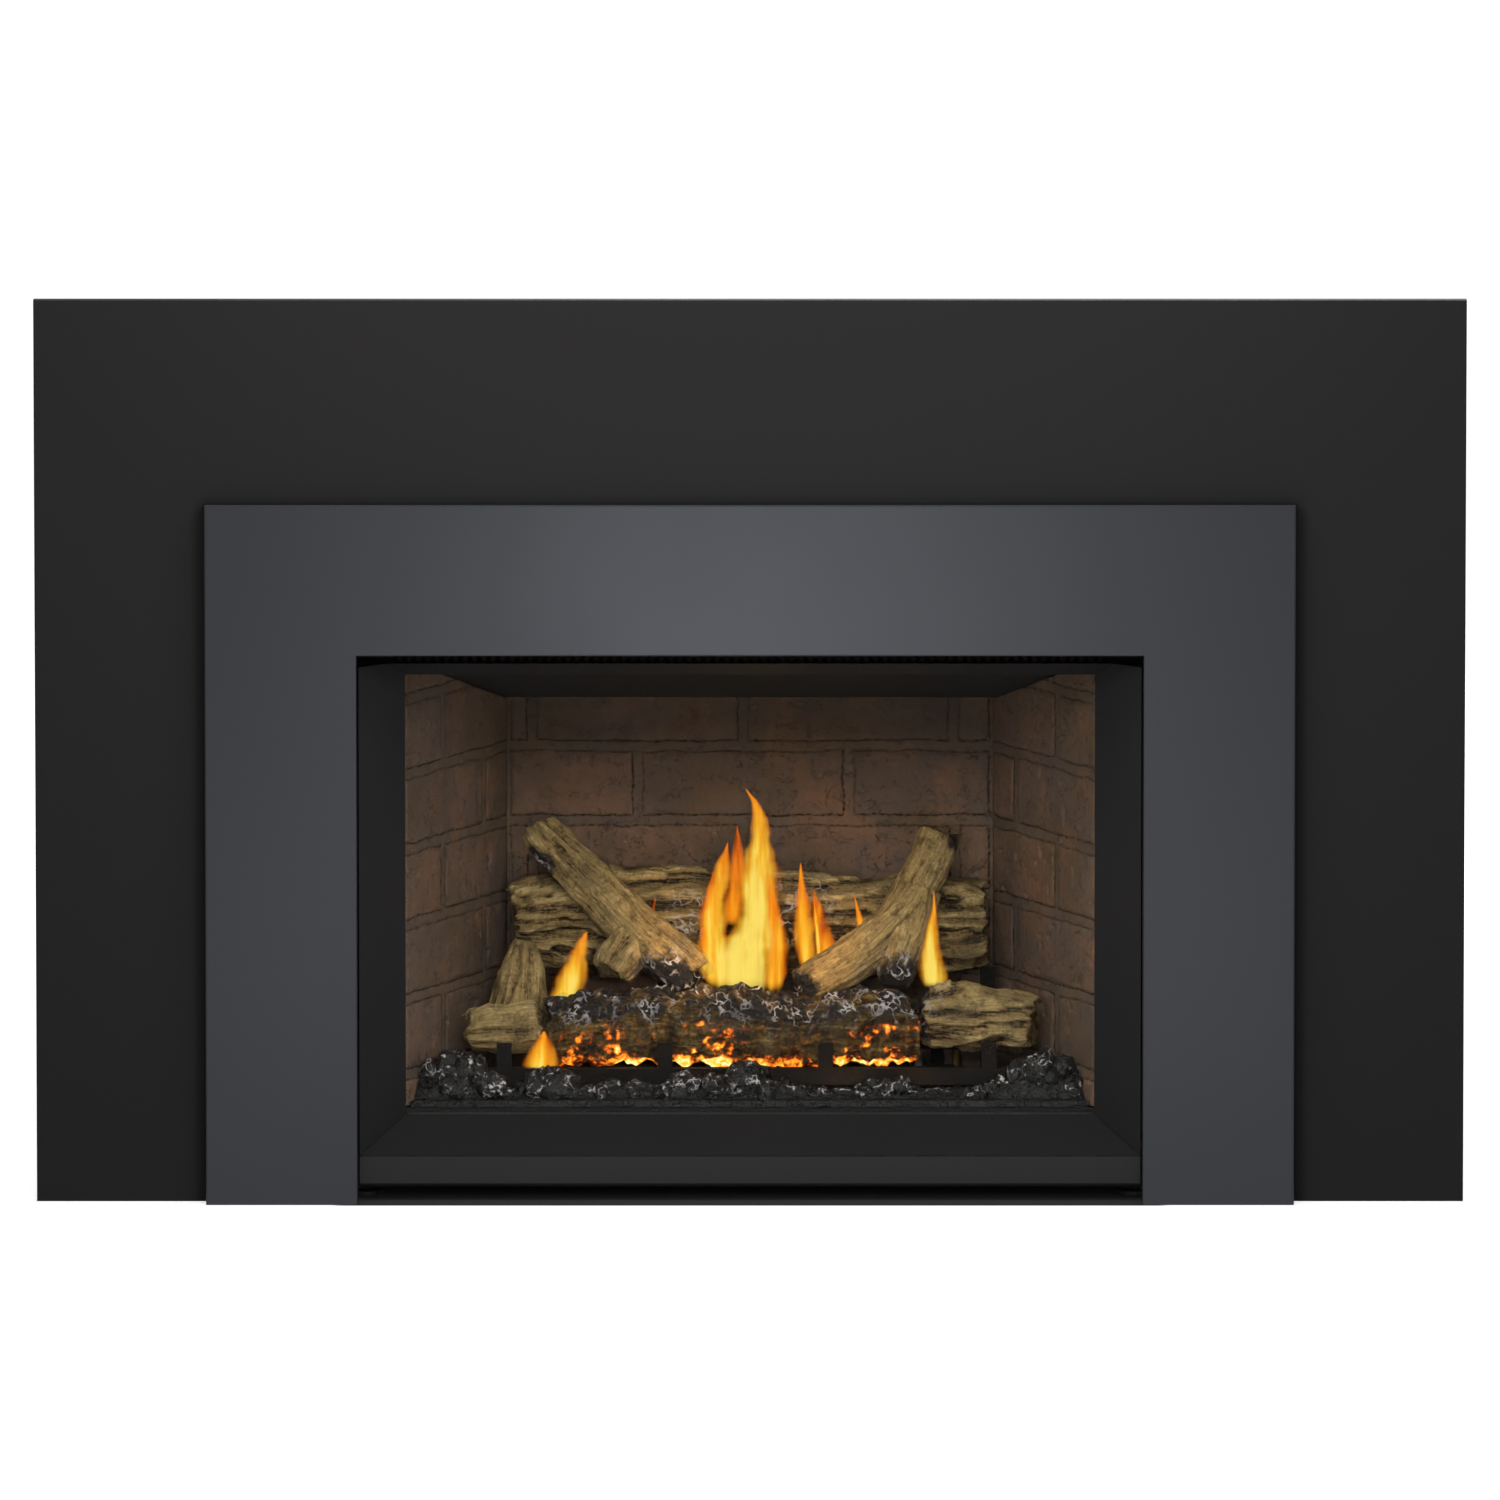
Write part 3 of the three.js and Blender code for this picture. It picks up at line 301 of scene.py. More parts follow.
class Nodes:
    """A node tree filled by short calls, in which a value is a socket to link or a constant."""

    def __init__(self, tree):
        self.tree = tree

    def put(self, value, socket):
        """Links a value's socket to an input, or sets the input's own value."""
        if isinstance(value, bpy.types.NodeSocket):
            self.tree.links.new(value, socket)
        elif socket.type == "RGBA":
            socket.default_value = rgba(value)
        else:
            socket.default_value = value

    def node(self, kind, inputs=(), **settings):
        """A shader node with its properties set, and its inputs from (name, value) pairs."""
        made = self.tree.nodes.new("ShaderNode" + kind)
        for key, value in settings.items():
            setattr(made, key, value)
        for key, value in inputs:
            self.put(value, made.inputs[key])
        return made

    def place(self, scale=(1, 1, 1), source="Object"):
        """Object or UV coordinates, scaled by a Mapping node."""
        coordinates = self.node("TexCoord").outputs[source]
        mapping = self.node("Mapping", [("Vector", coordinates), ("Scale", scale)])
        return mapping.outputs["Vector"]

    def noise(self, where, scale, detail=3.0, roughness=0.5):
        made = self.node("TexNoise", [("Vector", where), ("Scale", scale), ("Detail", detail),
                                      ("Roughness", roughness)])
        return made.outputs["Fac"]

    def attribute(self, label):
        return self.node("Attribute", attribute_name=label).outputs["Fac"]

    def ramp(self, factor, stops):
        """Colour ramp through (place, colour) stops."""
        made = self.node("ValToRGB", [("Fac", factor)])
        elements = made.color_ramp.elements
        elements.remove(elements[1])
        elements[0].position = stops[0][0]
        elements[0].color = rgba(stops[0][1])
        for place, value in stops[1:]:
            elements.new(place).color = rgba(value)
        return made.outputs["Color"]

    def range(self, factor, low, high, to_low=0.0, to_high=1.0):
        made = self.node("MapRange", [
            ("Value", factor), ("From Min", low), ("From Max", high), ("To Min", to_low),
            ("To Max", to_high),
        ])
        return made.outputs["Result"]

    def math(self, operation, *values):
        made = self.node("Math", enumerate(values), operation=operation)
        return made.outputs["Value"]

    def add(self, first, second):
        return self.math("ADD", first, second)

    def times(self, first, second):
        return self.math("MULTIPLY", first, second)

    def away(self, value, middle=0.0):
        """Distance of a value from a middle one."""
        return self.math("ABSOLUTE", self.math("SUBTRACT", value, middle))

    def mix(self, factor, first, second):
        """Mixes two colours."""
        made = self.node("Mix", [("Factor", factor)], data_type="RGBA")
        sockets = [s for s in made.inputs if s.type == "RGBA"]
        for value, socket in zip((first, second), sockets):
            self.put(value, socket)
        return next(s for s in made.outputs if s.type == "RGBA")

    def apart(self, vector, axis):
        return self.node("SeparateXYZ", [("Vector", vector)]).outputs[axis]

    def rays(self, *kinds):
        """1 for rays of any of these kinds, and 0 for the others."""
        paths = self.node("LightPath")
        levels = [paths.outputs[f"Is {kind} Ray"] for kind in kinds]
        while len(levels) > 1:
            levels.append(self.math("MAXIMUM", levels.pop(), levels.pop()))
        return levels[0]

    def group(self, tree, **values):
        """A placed node group, whose inputs are named with _ for a space."""
        made = self.node("Group", node_tree=tree)
        for key, value in values.items():
            self.put(value, made.inputs[key.replace("_", " ")])
        return made

    def clouds(self, where, scale, window, span=(0.0, 1.0), detail=5.0, roughness=0.5):
        """Noise whose values inside the window are spread over the span."""
        return self.group(CLOUDS, Vector=where, Scale=scale, Detail=detail, Roughness=roughness,
                          Low=window[0], High=window[1], Least=span[0],
                          Most=span[1]).outputs["Mask"]

    def veins(self, where, scale, detail, roughness, edge, core, strength=1.0):
        """Thin curls along the middle level of a noise, from their edge to their core."""
        return self.group(VEINS, Vector=where, Scale=scale, Detail=detail, Roughness=roughness,
                          Edge=edge, Core=core, Strength=strength).outputs["Mask"]


class Shader(Nodes):
    """A material that ends in one Principled BSDF, given by its inputs' values."""

    def __init__(self, name, base, roughness, metallic=0.0, specular=0.5):
        self.material = bpy.data.materials.new(name)
        self.material.use_nodes = True
        super().__init__(self.material.node_tree)
        self.bsdf = self.tree.nodes["Principled BSDF"]
        self.feed("Base Color", base)
        self.feed("Roughness", roughness)
        self.feed("Metallic", metallic)
        self.feed("Specular IOR Level", specular)

    def feed(self, name, value):
        self.put(value, self.bsdf.inputs[name])

    def bump(self, height, strength, distance=0.001):
        made = self.node("Bump", [("Height", height), ("Strength", strength),
                                  ("Distance", distance)])
        self.feed("Normal", made.outputs["Normal"])


def new_group(name, outputs, **inputs):
    """A shader node group: its nodes, the values that it is given, and its result node. Inputs
    are floats by their default, or vectors, and _ in a name stands for a space."""
    tree = bpy.data.node_groups.new(name, "ShaderNodeTree")
    for label, default in inputs.items():
        kind = "NodeSocketVector" if default is None else "NodeSocketFloat"
        socket = tree.interface.new_socket(
            label.replace("_", " "), in_out="INPUT", socket_type=kind)
        if default is not None:
            socket.default_value = default
    for label in outputs:
        tree.interface.new_socket(label, in_out="OUTPUT", socket_type="NodeSocketFloat")
    given = tree.nodes.new("NodeGroupInput").outputs
    return Nodes(tree), given, tree.nodes.new("NodeGroupOutput").inputs


def build_powder_coat():
    """Sprayed paint: a fine orange-peel height, and soft patches that vary the roughness."""
    nodes, given, result = new_group("powder_coat", ("Height", "Roughness"), Peel_Scale=900.0,
                                     Roughness=0.45, Patchiness=0.06)
    where = nodes.node("TexCoord").outputs["Object"]
    nodes.put(nodes.noise(where, given["Peel Scale"], detail=2.0), result["Height"])
    centred = nodes.math("SUBTRACT", nodes.noise(where, 7.0, detail=4.0), 0.5)
    spread = nodes.math("MULTIPLY_ADD", centred, given["Patchiness"], given["Roughness"])
    nodes.put(spread, result["Roughness"])
    return nodes.tree


def build_clouds():
    """Cloudy patches, for stains, dust, tarnish and grain: the noise's values from Low to High
    become Least to Most."""
    nodes, given, result = new_group("cloud_mask", ("Mask",), Vector=None, Scale=14.0, Detail=6.0,
                                     Roughness=0.62, Low=0.42, High=0.72, Least=0.0, Most=0.5)
    level = nodes.noise(*(given[key] for key in ("Vector", "Scale", "Detail", "Roughness")))
    spread = nodes.range(level, *(given[key] for key in ("Low", "High", "Least", "Most")))
    nodes.put(spread, result["Mask"])
    return nodes.tree


def build_veins():
    """Thin curls, for cracks, folds and ash: 0 where the noise is Edge or more from one half,
    rising to Strength where it is Core from it."""
    nodes, given, result = new_group("vein_mask", ("Mask",), Vector=None, Scale=60.0, Detail=2.0,
                                     Roughness=0.6, Edge=0.04, Core=0.01, Strength=1.0)
    level = nodes.noise(*(given[key] for key in ("Vector", "Scale", "Detail", "Roughness")))
    curl = nodes.range(nodes.away(level, 0.5), given["Edge"], given["Core"], 0.0,
                       given["Strength"])
    nodes.put(curl, result["Mask"])
    return nodes.tree


POWDER_COAT, CLOUDS, VEINS = build_powder_coat(), build_clouds(), build_veins()


# ------------------------------------------------------------------ materials


def painted(name, base, roughness, metallic=0.0, peel=900.0, specular=0.25):
    """Sprayed satin paint over sheet, with faint speckle in its colour."""
    base = rgba(base)[:3]
    shader = Shader(name, base, roughness, metallic, specular)
    coat = shader.group(POWDER_COAT, Peel_Scale=peel, Roughness=roughness, Patchiness=0.06)
    shader.feed("Roughness", coat.outputs["Roughness"])
    speckle = shader.noise(shader.place(), 1500.0, detail=1.0)
    stops = [(0.35, shaded(base, 0.94)), (0.65, shaded(base, 1.06))]
    shader.feed("Base Color", shader.ramp(speckle, stops))
    shader.bump(coat.outputs["Height"], 0.12, 0.0002)
    return shader.material


def tarnished(name, base, dulled, roughness, scale, amount, grain, metallic=0.0, specular=0.5,
              spangle=0.0):
    """A bare surface dulled in clouds, which can change its roughness from one value to another.
    grain is the scale, detail, strength and depth of its fine bumps. Spangles are the crystals
    of a zinc coating."""
    shader = Shader(name, base, roughness[0], metallic, specular)
    where = shader.place()
    tone = base
    if spangle:
        crystal = shader.node("TexVoronoi", [("Vector", where), ("Scale", spangle)])
        level = shader.range(crystal.outputs["Color"], 0.0, 1.0)
        tone = shader.ramp(level, [(0.2, shaded(base, 0.88)), (0.8, shaded(base, 1.1))])
    mask = shader.clouds(where, scale, (0.42, 0.72), (0.0, amount), 6.0, 0.62)
    shader.feed("Base Color", shader.mix(mask, tone, dulled))
    if len(roughness) > 1:
        shader.feed("Roughness", shader.range(mask, 0.0, 1.0, *roughness))
    fineness, detail, strength, depth = grain
    shader.bump(shader.noise(where, fineness, detail), strength, depth)
    return shader.material


def build_brick(values):
    """Moulded brick fibre: the distance to the brick's edge, in millimetres, sets the joint and
    the broken dark line beside it, partly a dark joint and partly painted shade below and to the
    right of each brick; each brick has its own tone, with rusty and dark patches. The top of the
    rear wall is darker: painted shade under the ceiling, with some soot."""
    shader = Shader("moulded_brick", values.brick, 0.92, specular=0.25)
    where = shader.place()
    upright, flat = shader.place((170, 170, 40)), shader.place((60, 60, 110))
    edge = shader.add(shader.attribute("edge_distance"),
                      shader.clouds(where, 240.0, (0.3, 0.7), (-0.55, 0.55), 3.0))
    rust = shaded(values.brick, 1.4, 1.12, 0.85)
    cool = shaded(values.brick, 0.6, 0.66, 0.66)
    olive = shaded(values.brick, 0.92, 0.86, 0.6)
    cooler, rustier = (
        [(a + b) / 2 for a, b in zip(values.brick, other)] for other in (cool, rust)
    )
    body = shader.ramp(shader.attribute("brick_tone"),
                       [(0.0, cooler), (0.5, values.brick), (1.0, rustier)])
    tone = shader.mix(shader.range(edge, -0.4, 0.6), values.mortar, body)
    # Stains: coordinates, scale, window, strength, detail, roughness, colour.
    for place, scale, window, most, detail, roughness, stain in (
        (where, 15.0, (0.46, 0.6), 0.75, 6.0, 0.62, olive),
        (where, 26.0, (0.52, 0.66), 0.75, 6.0, 0.6, rust),
        (where, 26.0, (0.5, 0.3), 0.7, 6.0, 0.6, cool),
        (upright, 1.0, (0.35, 0.65), 0.3, 5.0, 0.5, cool),
        (flat, 1.0, (0.63, 0.74), 0.5, 6.0, 0.7, "a5968a"),
    ):
        mask = shader.clouds(place, scale, window, (0.0, most), detail, roughness)
        tone = shader.mix(mask, tone, stain)
    crack = shader.times(shader.veins(where, 62.0, 5.0, 0.7, 0.012, 0.002, 0.75),
                         shader.clouds(flat, 1.0, (0.46, 0.54), detail=6.0, roughness=0.7))
    # The dark line at each brick's edge: partly a dark joint, partly painted shade, strongest
    # along the lower and right edges.
    line = shader.range(shader.away(edge, -0.5), 1.15, 0.3, 0.0, 0.85)
    dotted = shader.clouds(where, 300.0, (0.42, 0.56), (0.3, 1.0), 2.0)
    line = shader.times(shader.times(line, dotted), shader.attribute("shaded_edge"))
    line = shader.math("MAXIMUM", line, crack)
    tone = shader.mix(line, tone, values.soot_and_shade)
    # Darker towards the top of the rear wall: painted shade under the ceiling, with some soot.
    high = shader.range(shader.apart(where, "Z"), 0.262, 0.325, 0.0, 0.72)
    far = shader.range(shader.apart(where, "Y"), 0.01, 0.07, 0.25, 1.0)
    darkened_under_ceiling = shader.mix(0.82, tone, values.soot_and_shade)
    shader.feed("Base Color", shader.mix(shader.times(high, far), tone, darkened_under_ceiling))
    grain = shader.noise(where, 260.0, detail=6.0, roughness=0.7)
    shader.bump(shader.math("SUBTRACT", grain, line), 0.7, 0.002)
    return shader.material


def build_bark(name, values, tones):
    """Ceramic log: the grain's height sets the tan, from dark crevices to pale crests, partly the
    logs' own grain and partly painted shade in the crevices and painted highlight on the crests;
    burnt places turn black with curls of pale ash, partly painted glints of light, and the glow
    attribute lights the embers."""
    shader = Shader(name, values.bark, 0.85, specular=0.3)
    where = shader.place()
    fibres = shader.noise(shader.place((60, 640, 1), "UV"), 1.0, 7.0, 0.68)
    crumbs = shader.noise(where, 380.0, 5.0, 0.65)
    level = shader.add(shader.attribute("relief"),
                       shader.range(fibres, 0.32, 0.68, -0.26, 0.26))
    level = shader.add(level, shader.range(crumbs, 0.32, 0.68, -0.12, 0.12))
    wood = shader.ramp(level, tones)
    wood = shader.mix(shader.clouds(where, 34.0, (0.48, 0.7), (0.0, 0.6)), wood, "4a4436")
    wood = shader.mix(shader.clouds(where, 95.0, (0.5, 0.3), (0.0, 0.6), roughness=0.6), wood,
                      "241b10")
    burnt = shader.add(shader.attribute("char"),
                       shader.clouds(where, 170.0, (0.3, 0.7), (-0.3, 0.3)))
    burnt = shader.range(burnt, 0.2, 0.75)
    # Curls of pale ash, partly painted glints of light, on the crests of burnt places.
    curl = shader.times(shader.veins(where, 105.0, 1.8, 0.6, 0.05, 0.014),
                        shader.clouds(where, 75.0, (0.44, 0.58), detail=2.0))
    curl = shader.times(curl, shader.attribute("ash"))
    crust = shader.mix(shader.range(crumbs, 0.4, 0.75), values.char, "3a3838")
    shader.feed("Base Color", shader.mix(curl, shader.mix(burnt, wood, crust), values.ash))
    shader.feed("Roughness", shader.range(burnt, 0.0, 1.0, 0.88, 0.5))
    glow = shader.add(shader.attribute("glow"),
                      shader.clouds(where, 260.0, (0.3, 0.7), (-0.3, 0.3), 4.0))
    shader.feed("Emission Color", shader.ramp(glow, [
        (0.22, BLACK), (0.4, "5a1a00"), (0.54, "d2600a"), (0.7, "ff9a20"), (0.84, "ffc648"),
        (1.0, "fff0a0"),
    ]))
    shader.feed("Emission Strength", 1.4)
    rough = shader.add(crumbs, shader.range(fibres, 0.0, 1.0, 0.0, 1.2))
    rough = shader.add(rough, shader.times(curl, 0.6))
    shader.bump(rough, 0.8, 0.0022)
    return shader.material


def build_charcoal(values):
    """Loose charcoal and rock wool: black, with painted glints of light, pale as ash, on the
    crests of its crumples.
    """
    shader = Shader("charcoal", values.char, 0.42)
    where = shader.place()
    crumple = shader.noise(where, 210.0, 5.0, 0.6)
    level = shader.add(shader.attribute("relief"),
                       shader.range(crumple, 0.3, 0.7, -0.25, 0.25))
    fold = shader.veins(where, 88.0, 2.4, 0.6, 0.04, 0.01, 0.3)
    # The crests of the crumples get painted glints of light.
    shader.feed("Base Color", shader.ramp(shader.add(level, fold), [
        (0.5, "080808"), (0.7, "1f1d1c"), (0.86, "4d4946"), (1.02, values.ash),
    ]))
    shader.bump(shader.add(crumple, fold), 1.0, 0.003)
    return shader.material


def build_flame(values):
    """Flame: light only, pale in its heart and orange at its rim, thinning to nothing. The
    surfaces beside it get less of that light, because the flame lamp stands for it there."""
    shader = Shader("flame", BLACK, 1.0, specular=0.0)
    streaked = shader.place((210, 90, 26))
    level = shader.add(shader.attribute("flame_heat"),
                       shader.clouds(streaked, 1.0, (0.3, 0.7), (-0.24, 0.24)))
    shader.feed("Emission Color", shader.ramp(level, [
        (0.12, "b23c00"), (0.36, values.flame_edge), (0.6, "ffa01c"), (0.84, "ffc232"),
        (1.06, values.flame_core),
    ]))
    strength = shader.range(shader.rays("Diffuse"), 0.0, 1.0, 1.12, 0.3)
    shader.feed("Emission Strength", strength)
    cover = shader.attribute("flame_cover")
    ragged = shader.add(cover, shader.clouds(streaked, 1.0, (0.3, 0.7), (-0.14, 0.14)))
    ragged = shader.times(ragged, shader.range(cover, 0.0, 0.12))
    shader.feed("Alpha", shader.range(ragged, 0.0, 1.0, 0.0, 0.86))
    return shader.material


def build_glass():
    """Clear ceramic glass, which lets the lamps' light straight through to the fire."""
    shader = Shader("ceramic_glass", "f4f4f2", 0.02)
    shader.feed("Transmission Weight", 1.0)
    shader.feed("IOR", 1.06)
    clear = shader.node("BsdfTransparent", [("Color", (0.96, 0.96, 0.95))])
    either = shader.node("MixShader", [
        ("Fac", shader.rays("Shadow", "Diffuse")), (1, shader.bsdf.outputs["BSDF"]),
        (2, clear.outputs["BSDF"]),
    ])
    shader.put(either.outputs["Shader"], shader.tree.nodes["Material Output"].inputs["Surface"])
    return shader.material


def build_rope():
    """Woven glass rope: two crossing sets of strands."""
    shader = Shader("rope_gasket", "34322f", 0.95)
    first, second = (
        shader.node("TexWave", [("Vector", shader.place(scale)), ("Scale", 190.0),
                                ("Distortion", distortion)], bands_direction="DIAGONAL")
        for scale, distortion in (((1, 1, 1), 1.5), ((-1, 1, 1), 0.0))
    )
    strands = shader.math("MAXIMUM", first.outputs["Fac"], second.outputs["Fac"])
    shader.feed("Base Color", shader.ramp(strands, [(0.2, "22201e"), (0.8, "454340")]))
    shader.bump(strands, 0.8, 0.001)
    return shader.material


def build_materials(values):
    """Every finish of the object, by its plain name."""
    # From crevices to crests: the grain's own tones with painted shade low and painted highlight
    # high.
    bark_tones = [(0.1, "120d07"), (0.28, values.bark_groove_and_shade), (0.5, values.bark),
                  (0.76, "ac935f"), (1.0, values.bark_crest_and_highlight)]
    burnt_tones = [(0.12, "090705"), (0.36, "2b2012"), (0.58, "523e1f"), (0.78, "7a602f"),
                   (1.0, "a5916a")]
    bare = {"scale": 14.0, "amount": 0.5, "grain": (420.0, 3.0, 0.1, 0.0003), "metallic": 1.0}
    return {
        "surround": painted("surround_paint", values.surround, 0.4, 0.85, peel=1100.0),
        "backer": painted("backer_paint", values.backer, 0.6, peel=700.0, specular=0.02),
        "bezel": painted("bezel_paint", values.bezel, 0.46, specular=0.15),
        "bar": painted("bar_paint", "2b2a2b", 0.55, specular=0.08),
        "black": painted("stove_black", "1b1b1c", 0.62, 0.2, peel=500.0),
        "galvanised": tarnished("galvanised_steel", values.galvanised, "6d665c", (0.38, 0.68),
                                spangle=150.0, **bare),
        "brass": tarnished("brass_fittings", values.brass, "6b5230", (0.3, 0.6), **bare),
        # Sand-cast iron under stove black, browned by heat in patches.
        "cast": tarnished("cast_iron", "171615", "2e221a", (0.8,), 30.0, 0.55,
                          (700.0, 5.0, 0.5, 0.0007), metallic=0.1, specular=0.12),
        # Moulded black plastic with a fine spark-eroded grain.
        "plastic": tarnished("black_plastic", values.plastic, "303033", (0.42, 0.62), 40.0, 0.25,
                             (2200.0, 2.0, 0.25, 0.0002)),
        # Glazed electrode porcelain, lightly smoked at random.
        "porcelain": tarnished("porcelain", "d9d4c8", "8b8172", (0.28,), 90.0, 0.6,
                               (300.0, 3.0, 0.08, 0.0003)),
        "brick": build_brick(values),
        "bark": build_bark("log_bark", values, bark_tones),
        "crust": build_bark("charred_crust", values, burnt_tones),
        "charcoal": build_charcoal(values),
        "flame": build_flame(values),
        "glass": build_glass(),
        "rope": build_rope(),
    }


FINISHES = {}


def finish(name):
    """A finish by name; all of them are built the first time that one is asked for."""
    if not FINISHES:
        FINISHES.update(build_materials(bpy.context.scene.insert_colours))
    return FINISHES[name]


# ------------------------------------------------------------------ sheet metal

# Half width and top of the openings in the backer plate and in the front surround.
BACKER_OPENING = (0.296, 0.440)
SURROUND_OPENING = (0.2883, 0.4058)
HOOK_LIP = 0.0145
BAR_SHEET = 0.0015


def arch_sheet(name, section, material, thickness, **facts):
    """A three-sided sheet open below: each section point (half width, top, Y) runs up the left
    side, across the top and down the right side, with mitred corners."""
    half, top, depth = np.asarray(section, float).T
    zero = np.zeros_like(half)
    legs = [(-half, zero), (-half, top), (half, top), (half, zero)]
    points = np.stack([np.stack([x, depth, z], axis=-1) for x, z in legs])
    faces = grid_faces(4, len(section))[:, ::-1]
    piece = mesh_piece(name, points.reshape(-1, 3), faces, material, flat_angle=30, **facts)
    return add_thickness(piece, thickness)


def folded_bar(name, profile, half, material, thickness, **facts):
    """A profile of (Y, Z) points carried straight along X from -half to half."""
    profile = np.asarray(profile, float)
    points = np.concatenate([np.insert(profile, 0, x, axis=1) for x in (half, -half)])
    faces = grid_faces(2, len(profile))
    piece = mesh_piece(name, points, faces, material, flat_angle=30, **facts)
    return add_thickness(piece, thickness)


def folded_edge(half, top, face, radius, outward):
    """Section points of a quarter bend from the face to a return: an arc whose centre lies one
    radius behind the face, on the material's side of the edge."""
    arc = quarter_bend(radius, 90, 0)
    across = (arc[:, 0] - radius) * outward
    return [(half + a, top + a, face + radius - b) for a, b in zip(across, arc[:, 1])]


class FIREPLACE_OT_surround(bpy.types.Operator):
    """Fold the backer plate, the front surround with its hook lip, and the access bar"""

    bl_idname = "fireplace.surround"
    bl_label = "Surround and backer"

    def execute(self, context):
        sizes = context.scene.insert_sizes
        radius, sheet = sizes.bend_radius, sizes.sheet
        low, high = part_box("backer_plate")
        section = [(high.x, high.z, high.y)]
        section += folded_edge(high.x, high.z, low.y, radius, 1)[::-1]
        section.append((*BACKER_OPENING, low.y))
        arch_sheet("backer_sheet", section, finish("backer"), sheet,
                   stands_for=("backer_plate",), slot="backer_paint")

        low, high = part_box("front_surround")
        section = [(high.x, high.z, high.y)]
        section += folded_edge(high.x, high.z, low.y, radius, 1)[::-1]
        section += folded_edge(*SURROUND_OPENING, low.y, radius, -1)
        section.append((*SURROUND_OPENING, high.y))
        arch_sheet("surround_sheet", section, finish("surround"), sheet,
                   body="front_surround", stands_for=("front_surround",), slot="surround_paint")
        lip = [(high.y - sheet, high.z - sheet), (high.y - sheet, high.z - HOOK_LIP)]
        folded_bar("surround_hook_lip", lip, high.x - sheet, finish("surround"), sheet,
                   body="front_surround", slot="surround_paint")

        low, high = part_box("access_bar")
        arc = quarter_bend(radius, 270, 180) + (low.y + radius, low.z + radius)
        profile = [(low.y, high.z), *arc[::-1], (high.y, low.z)]
        folded_bar("access_bar_sheet", profile, high.x, finish("bar"), BAR_SHEET,
                   body="access_bar", stands_for=("access_bar",), slot="backer_paint")
        return {"FINISHED"}


# ------------------------------------------------------------------ brick liners

FIRST_COURSE = 0.0895
LINER_THICKNESS = 0.020
LINER_SPACING = 0.0015
REAR_JOINT, SIDE_JOINT = -0.0048, 0.073


def brick_relief(across, up, sizes, edges, joint):
    """Height, edge distance, shaded edge and tone of running-bond bricks at (across, up).

    A place belongs to the course and brick whose pitch it falls in, alternate courses shifted
    by half a brick. Its distance to that brick's edge, worn by noise, sets a rounded step. The
    lower and the right edges get the most painted shade."""
    mortar = sizes.mortar
    place = np.stack([across, up, np.zeros_like(up)], axis=-1)
    across = across + 0.0030 * (layered(place, 60, 3, seed=3) - 0.5)
    up = up + 0.0034 * (layered(place, 50, 3, seed=9) - 0.5)
    rise, pitch = sizes.brick_height + mortar, sizes.brick_length + mortar
    course = np.floor((up - FIRST_COURSE + mortar / 2) / rise)
    bottom = FIRST_COURSE + course * rise
    first = joint + np.where(course % 2 == 0, 0.0, pitch / 2)
    number = np.floor((across - first) / pitch)
    start = np.maximum(first + number * pitch + mortar / 2, edges[0])
    end = np.minimum(first + (number + 1) * pitch - mortar / 2, edges[1])
    sides = np.stack([across - start, end - across, up - bottom,
                      bottom + sizes.brick_height - up])
    edge = sides.min(axis=0)
    # Painted shade along a brick's left, right, lower and upper edges.
    shade = np.array([0.6, 1.0, 1.0, 0.75])[sides.argmin(axis=0)]
    face = smooth(edge, -0.0006, 0.0030)
    lumps = 0.0012 * (layered(place, 45, 4, seed=5) - 0.5)
    chips = -0.0018 * smooth(layered(place, 110, 3, seed=8), 0.6, 0.74)
    height = face * (sizes.brick_proud - 0.0006 + lumps + chips)
    height += (1 - face) * (0.0012 + 0.0006 * (layered(place, 260, 2, seed=2) - 0.5))
    tone = LATTICE[(course.astype(int) * 7) % CELLS, (number.astype(int) * 5) % CELLS, 3]
    return height, np.clip(edge, -0.02, 0.02) * 1000, shade, tone


def brick_panel(name, place, span, top_at, edges, joint, **facts):
    """A liner: brick_relief on a grid of (across, up), pushed out of the slab's face, and a flat
    back, joined round the edges into one closed skin.

    place turns (across, up) and a height, or None for the back, into points."""
    left, right, bottom = span
    sizes = bpy.context.scene.insert_sizes
    columns = int((right - left) / LINER_SPACING) + 1
    rows = int((np.max(top_at(np.array([left, right]))) - bottom) / LINER_SPACING) + 1
    across = np.linspace(left, right, columns)[None, :].repeat(rows, axis=0)
    up = bottom + np.linspace(0, 1, rows)[:, None] * (top_at(across) - bottom)
    height, edge, shade, tone = brick_relief(across, up, sizes, edges, joint)
    height[[0, -1]] = 0
    height[:, [0, -1]] = 0
    number = np.arange(rows * columns).reshape(rows, columns)
    rim = np.concatenate([
        number[0, :-1], number[:-1, -1], number[-1, :0:-1], number[:0:-1, 0],
    ])
    front = place(across, up, height).reshape(-1, 3)
    back = place(across, up, None).reshape(-1, 3)[rim]
    behind = np.arange(len(rim)) + len(front)
    skirt = np.stack([rim, behind, np.roll(behind, -1), np.roll(rim, -1)], axis=-1)
    faces = grid_faces(rows, columns)[:, ::-1].tolist() + skirt.tolist()
    faces.append(behind[::-1].tolist())
    values = {"edge_distance": edge, "shaded_edge": shade, "brick_tone": tone}
    values = {key: np.append(value, np.full(len(rim), 5.0)) for key, value in values.items()}
    return mesh_piece(name, np.concatenate([front, back]), faces, finish("brick"),
                      values=values, flat_angle=50, slot="brick_fibre", **facts)


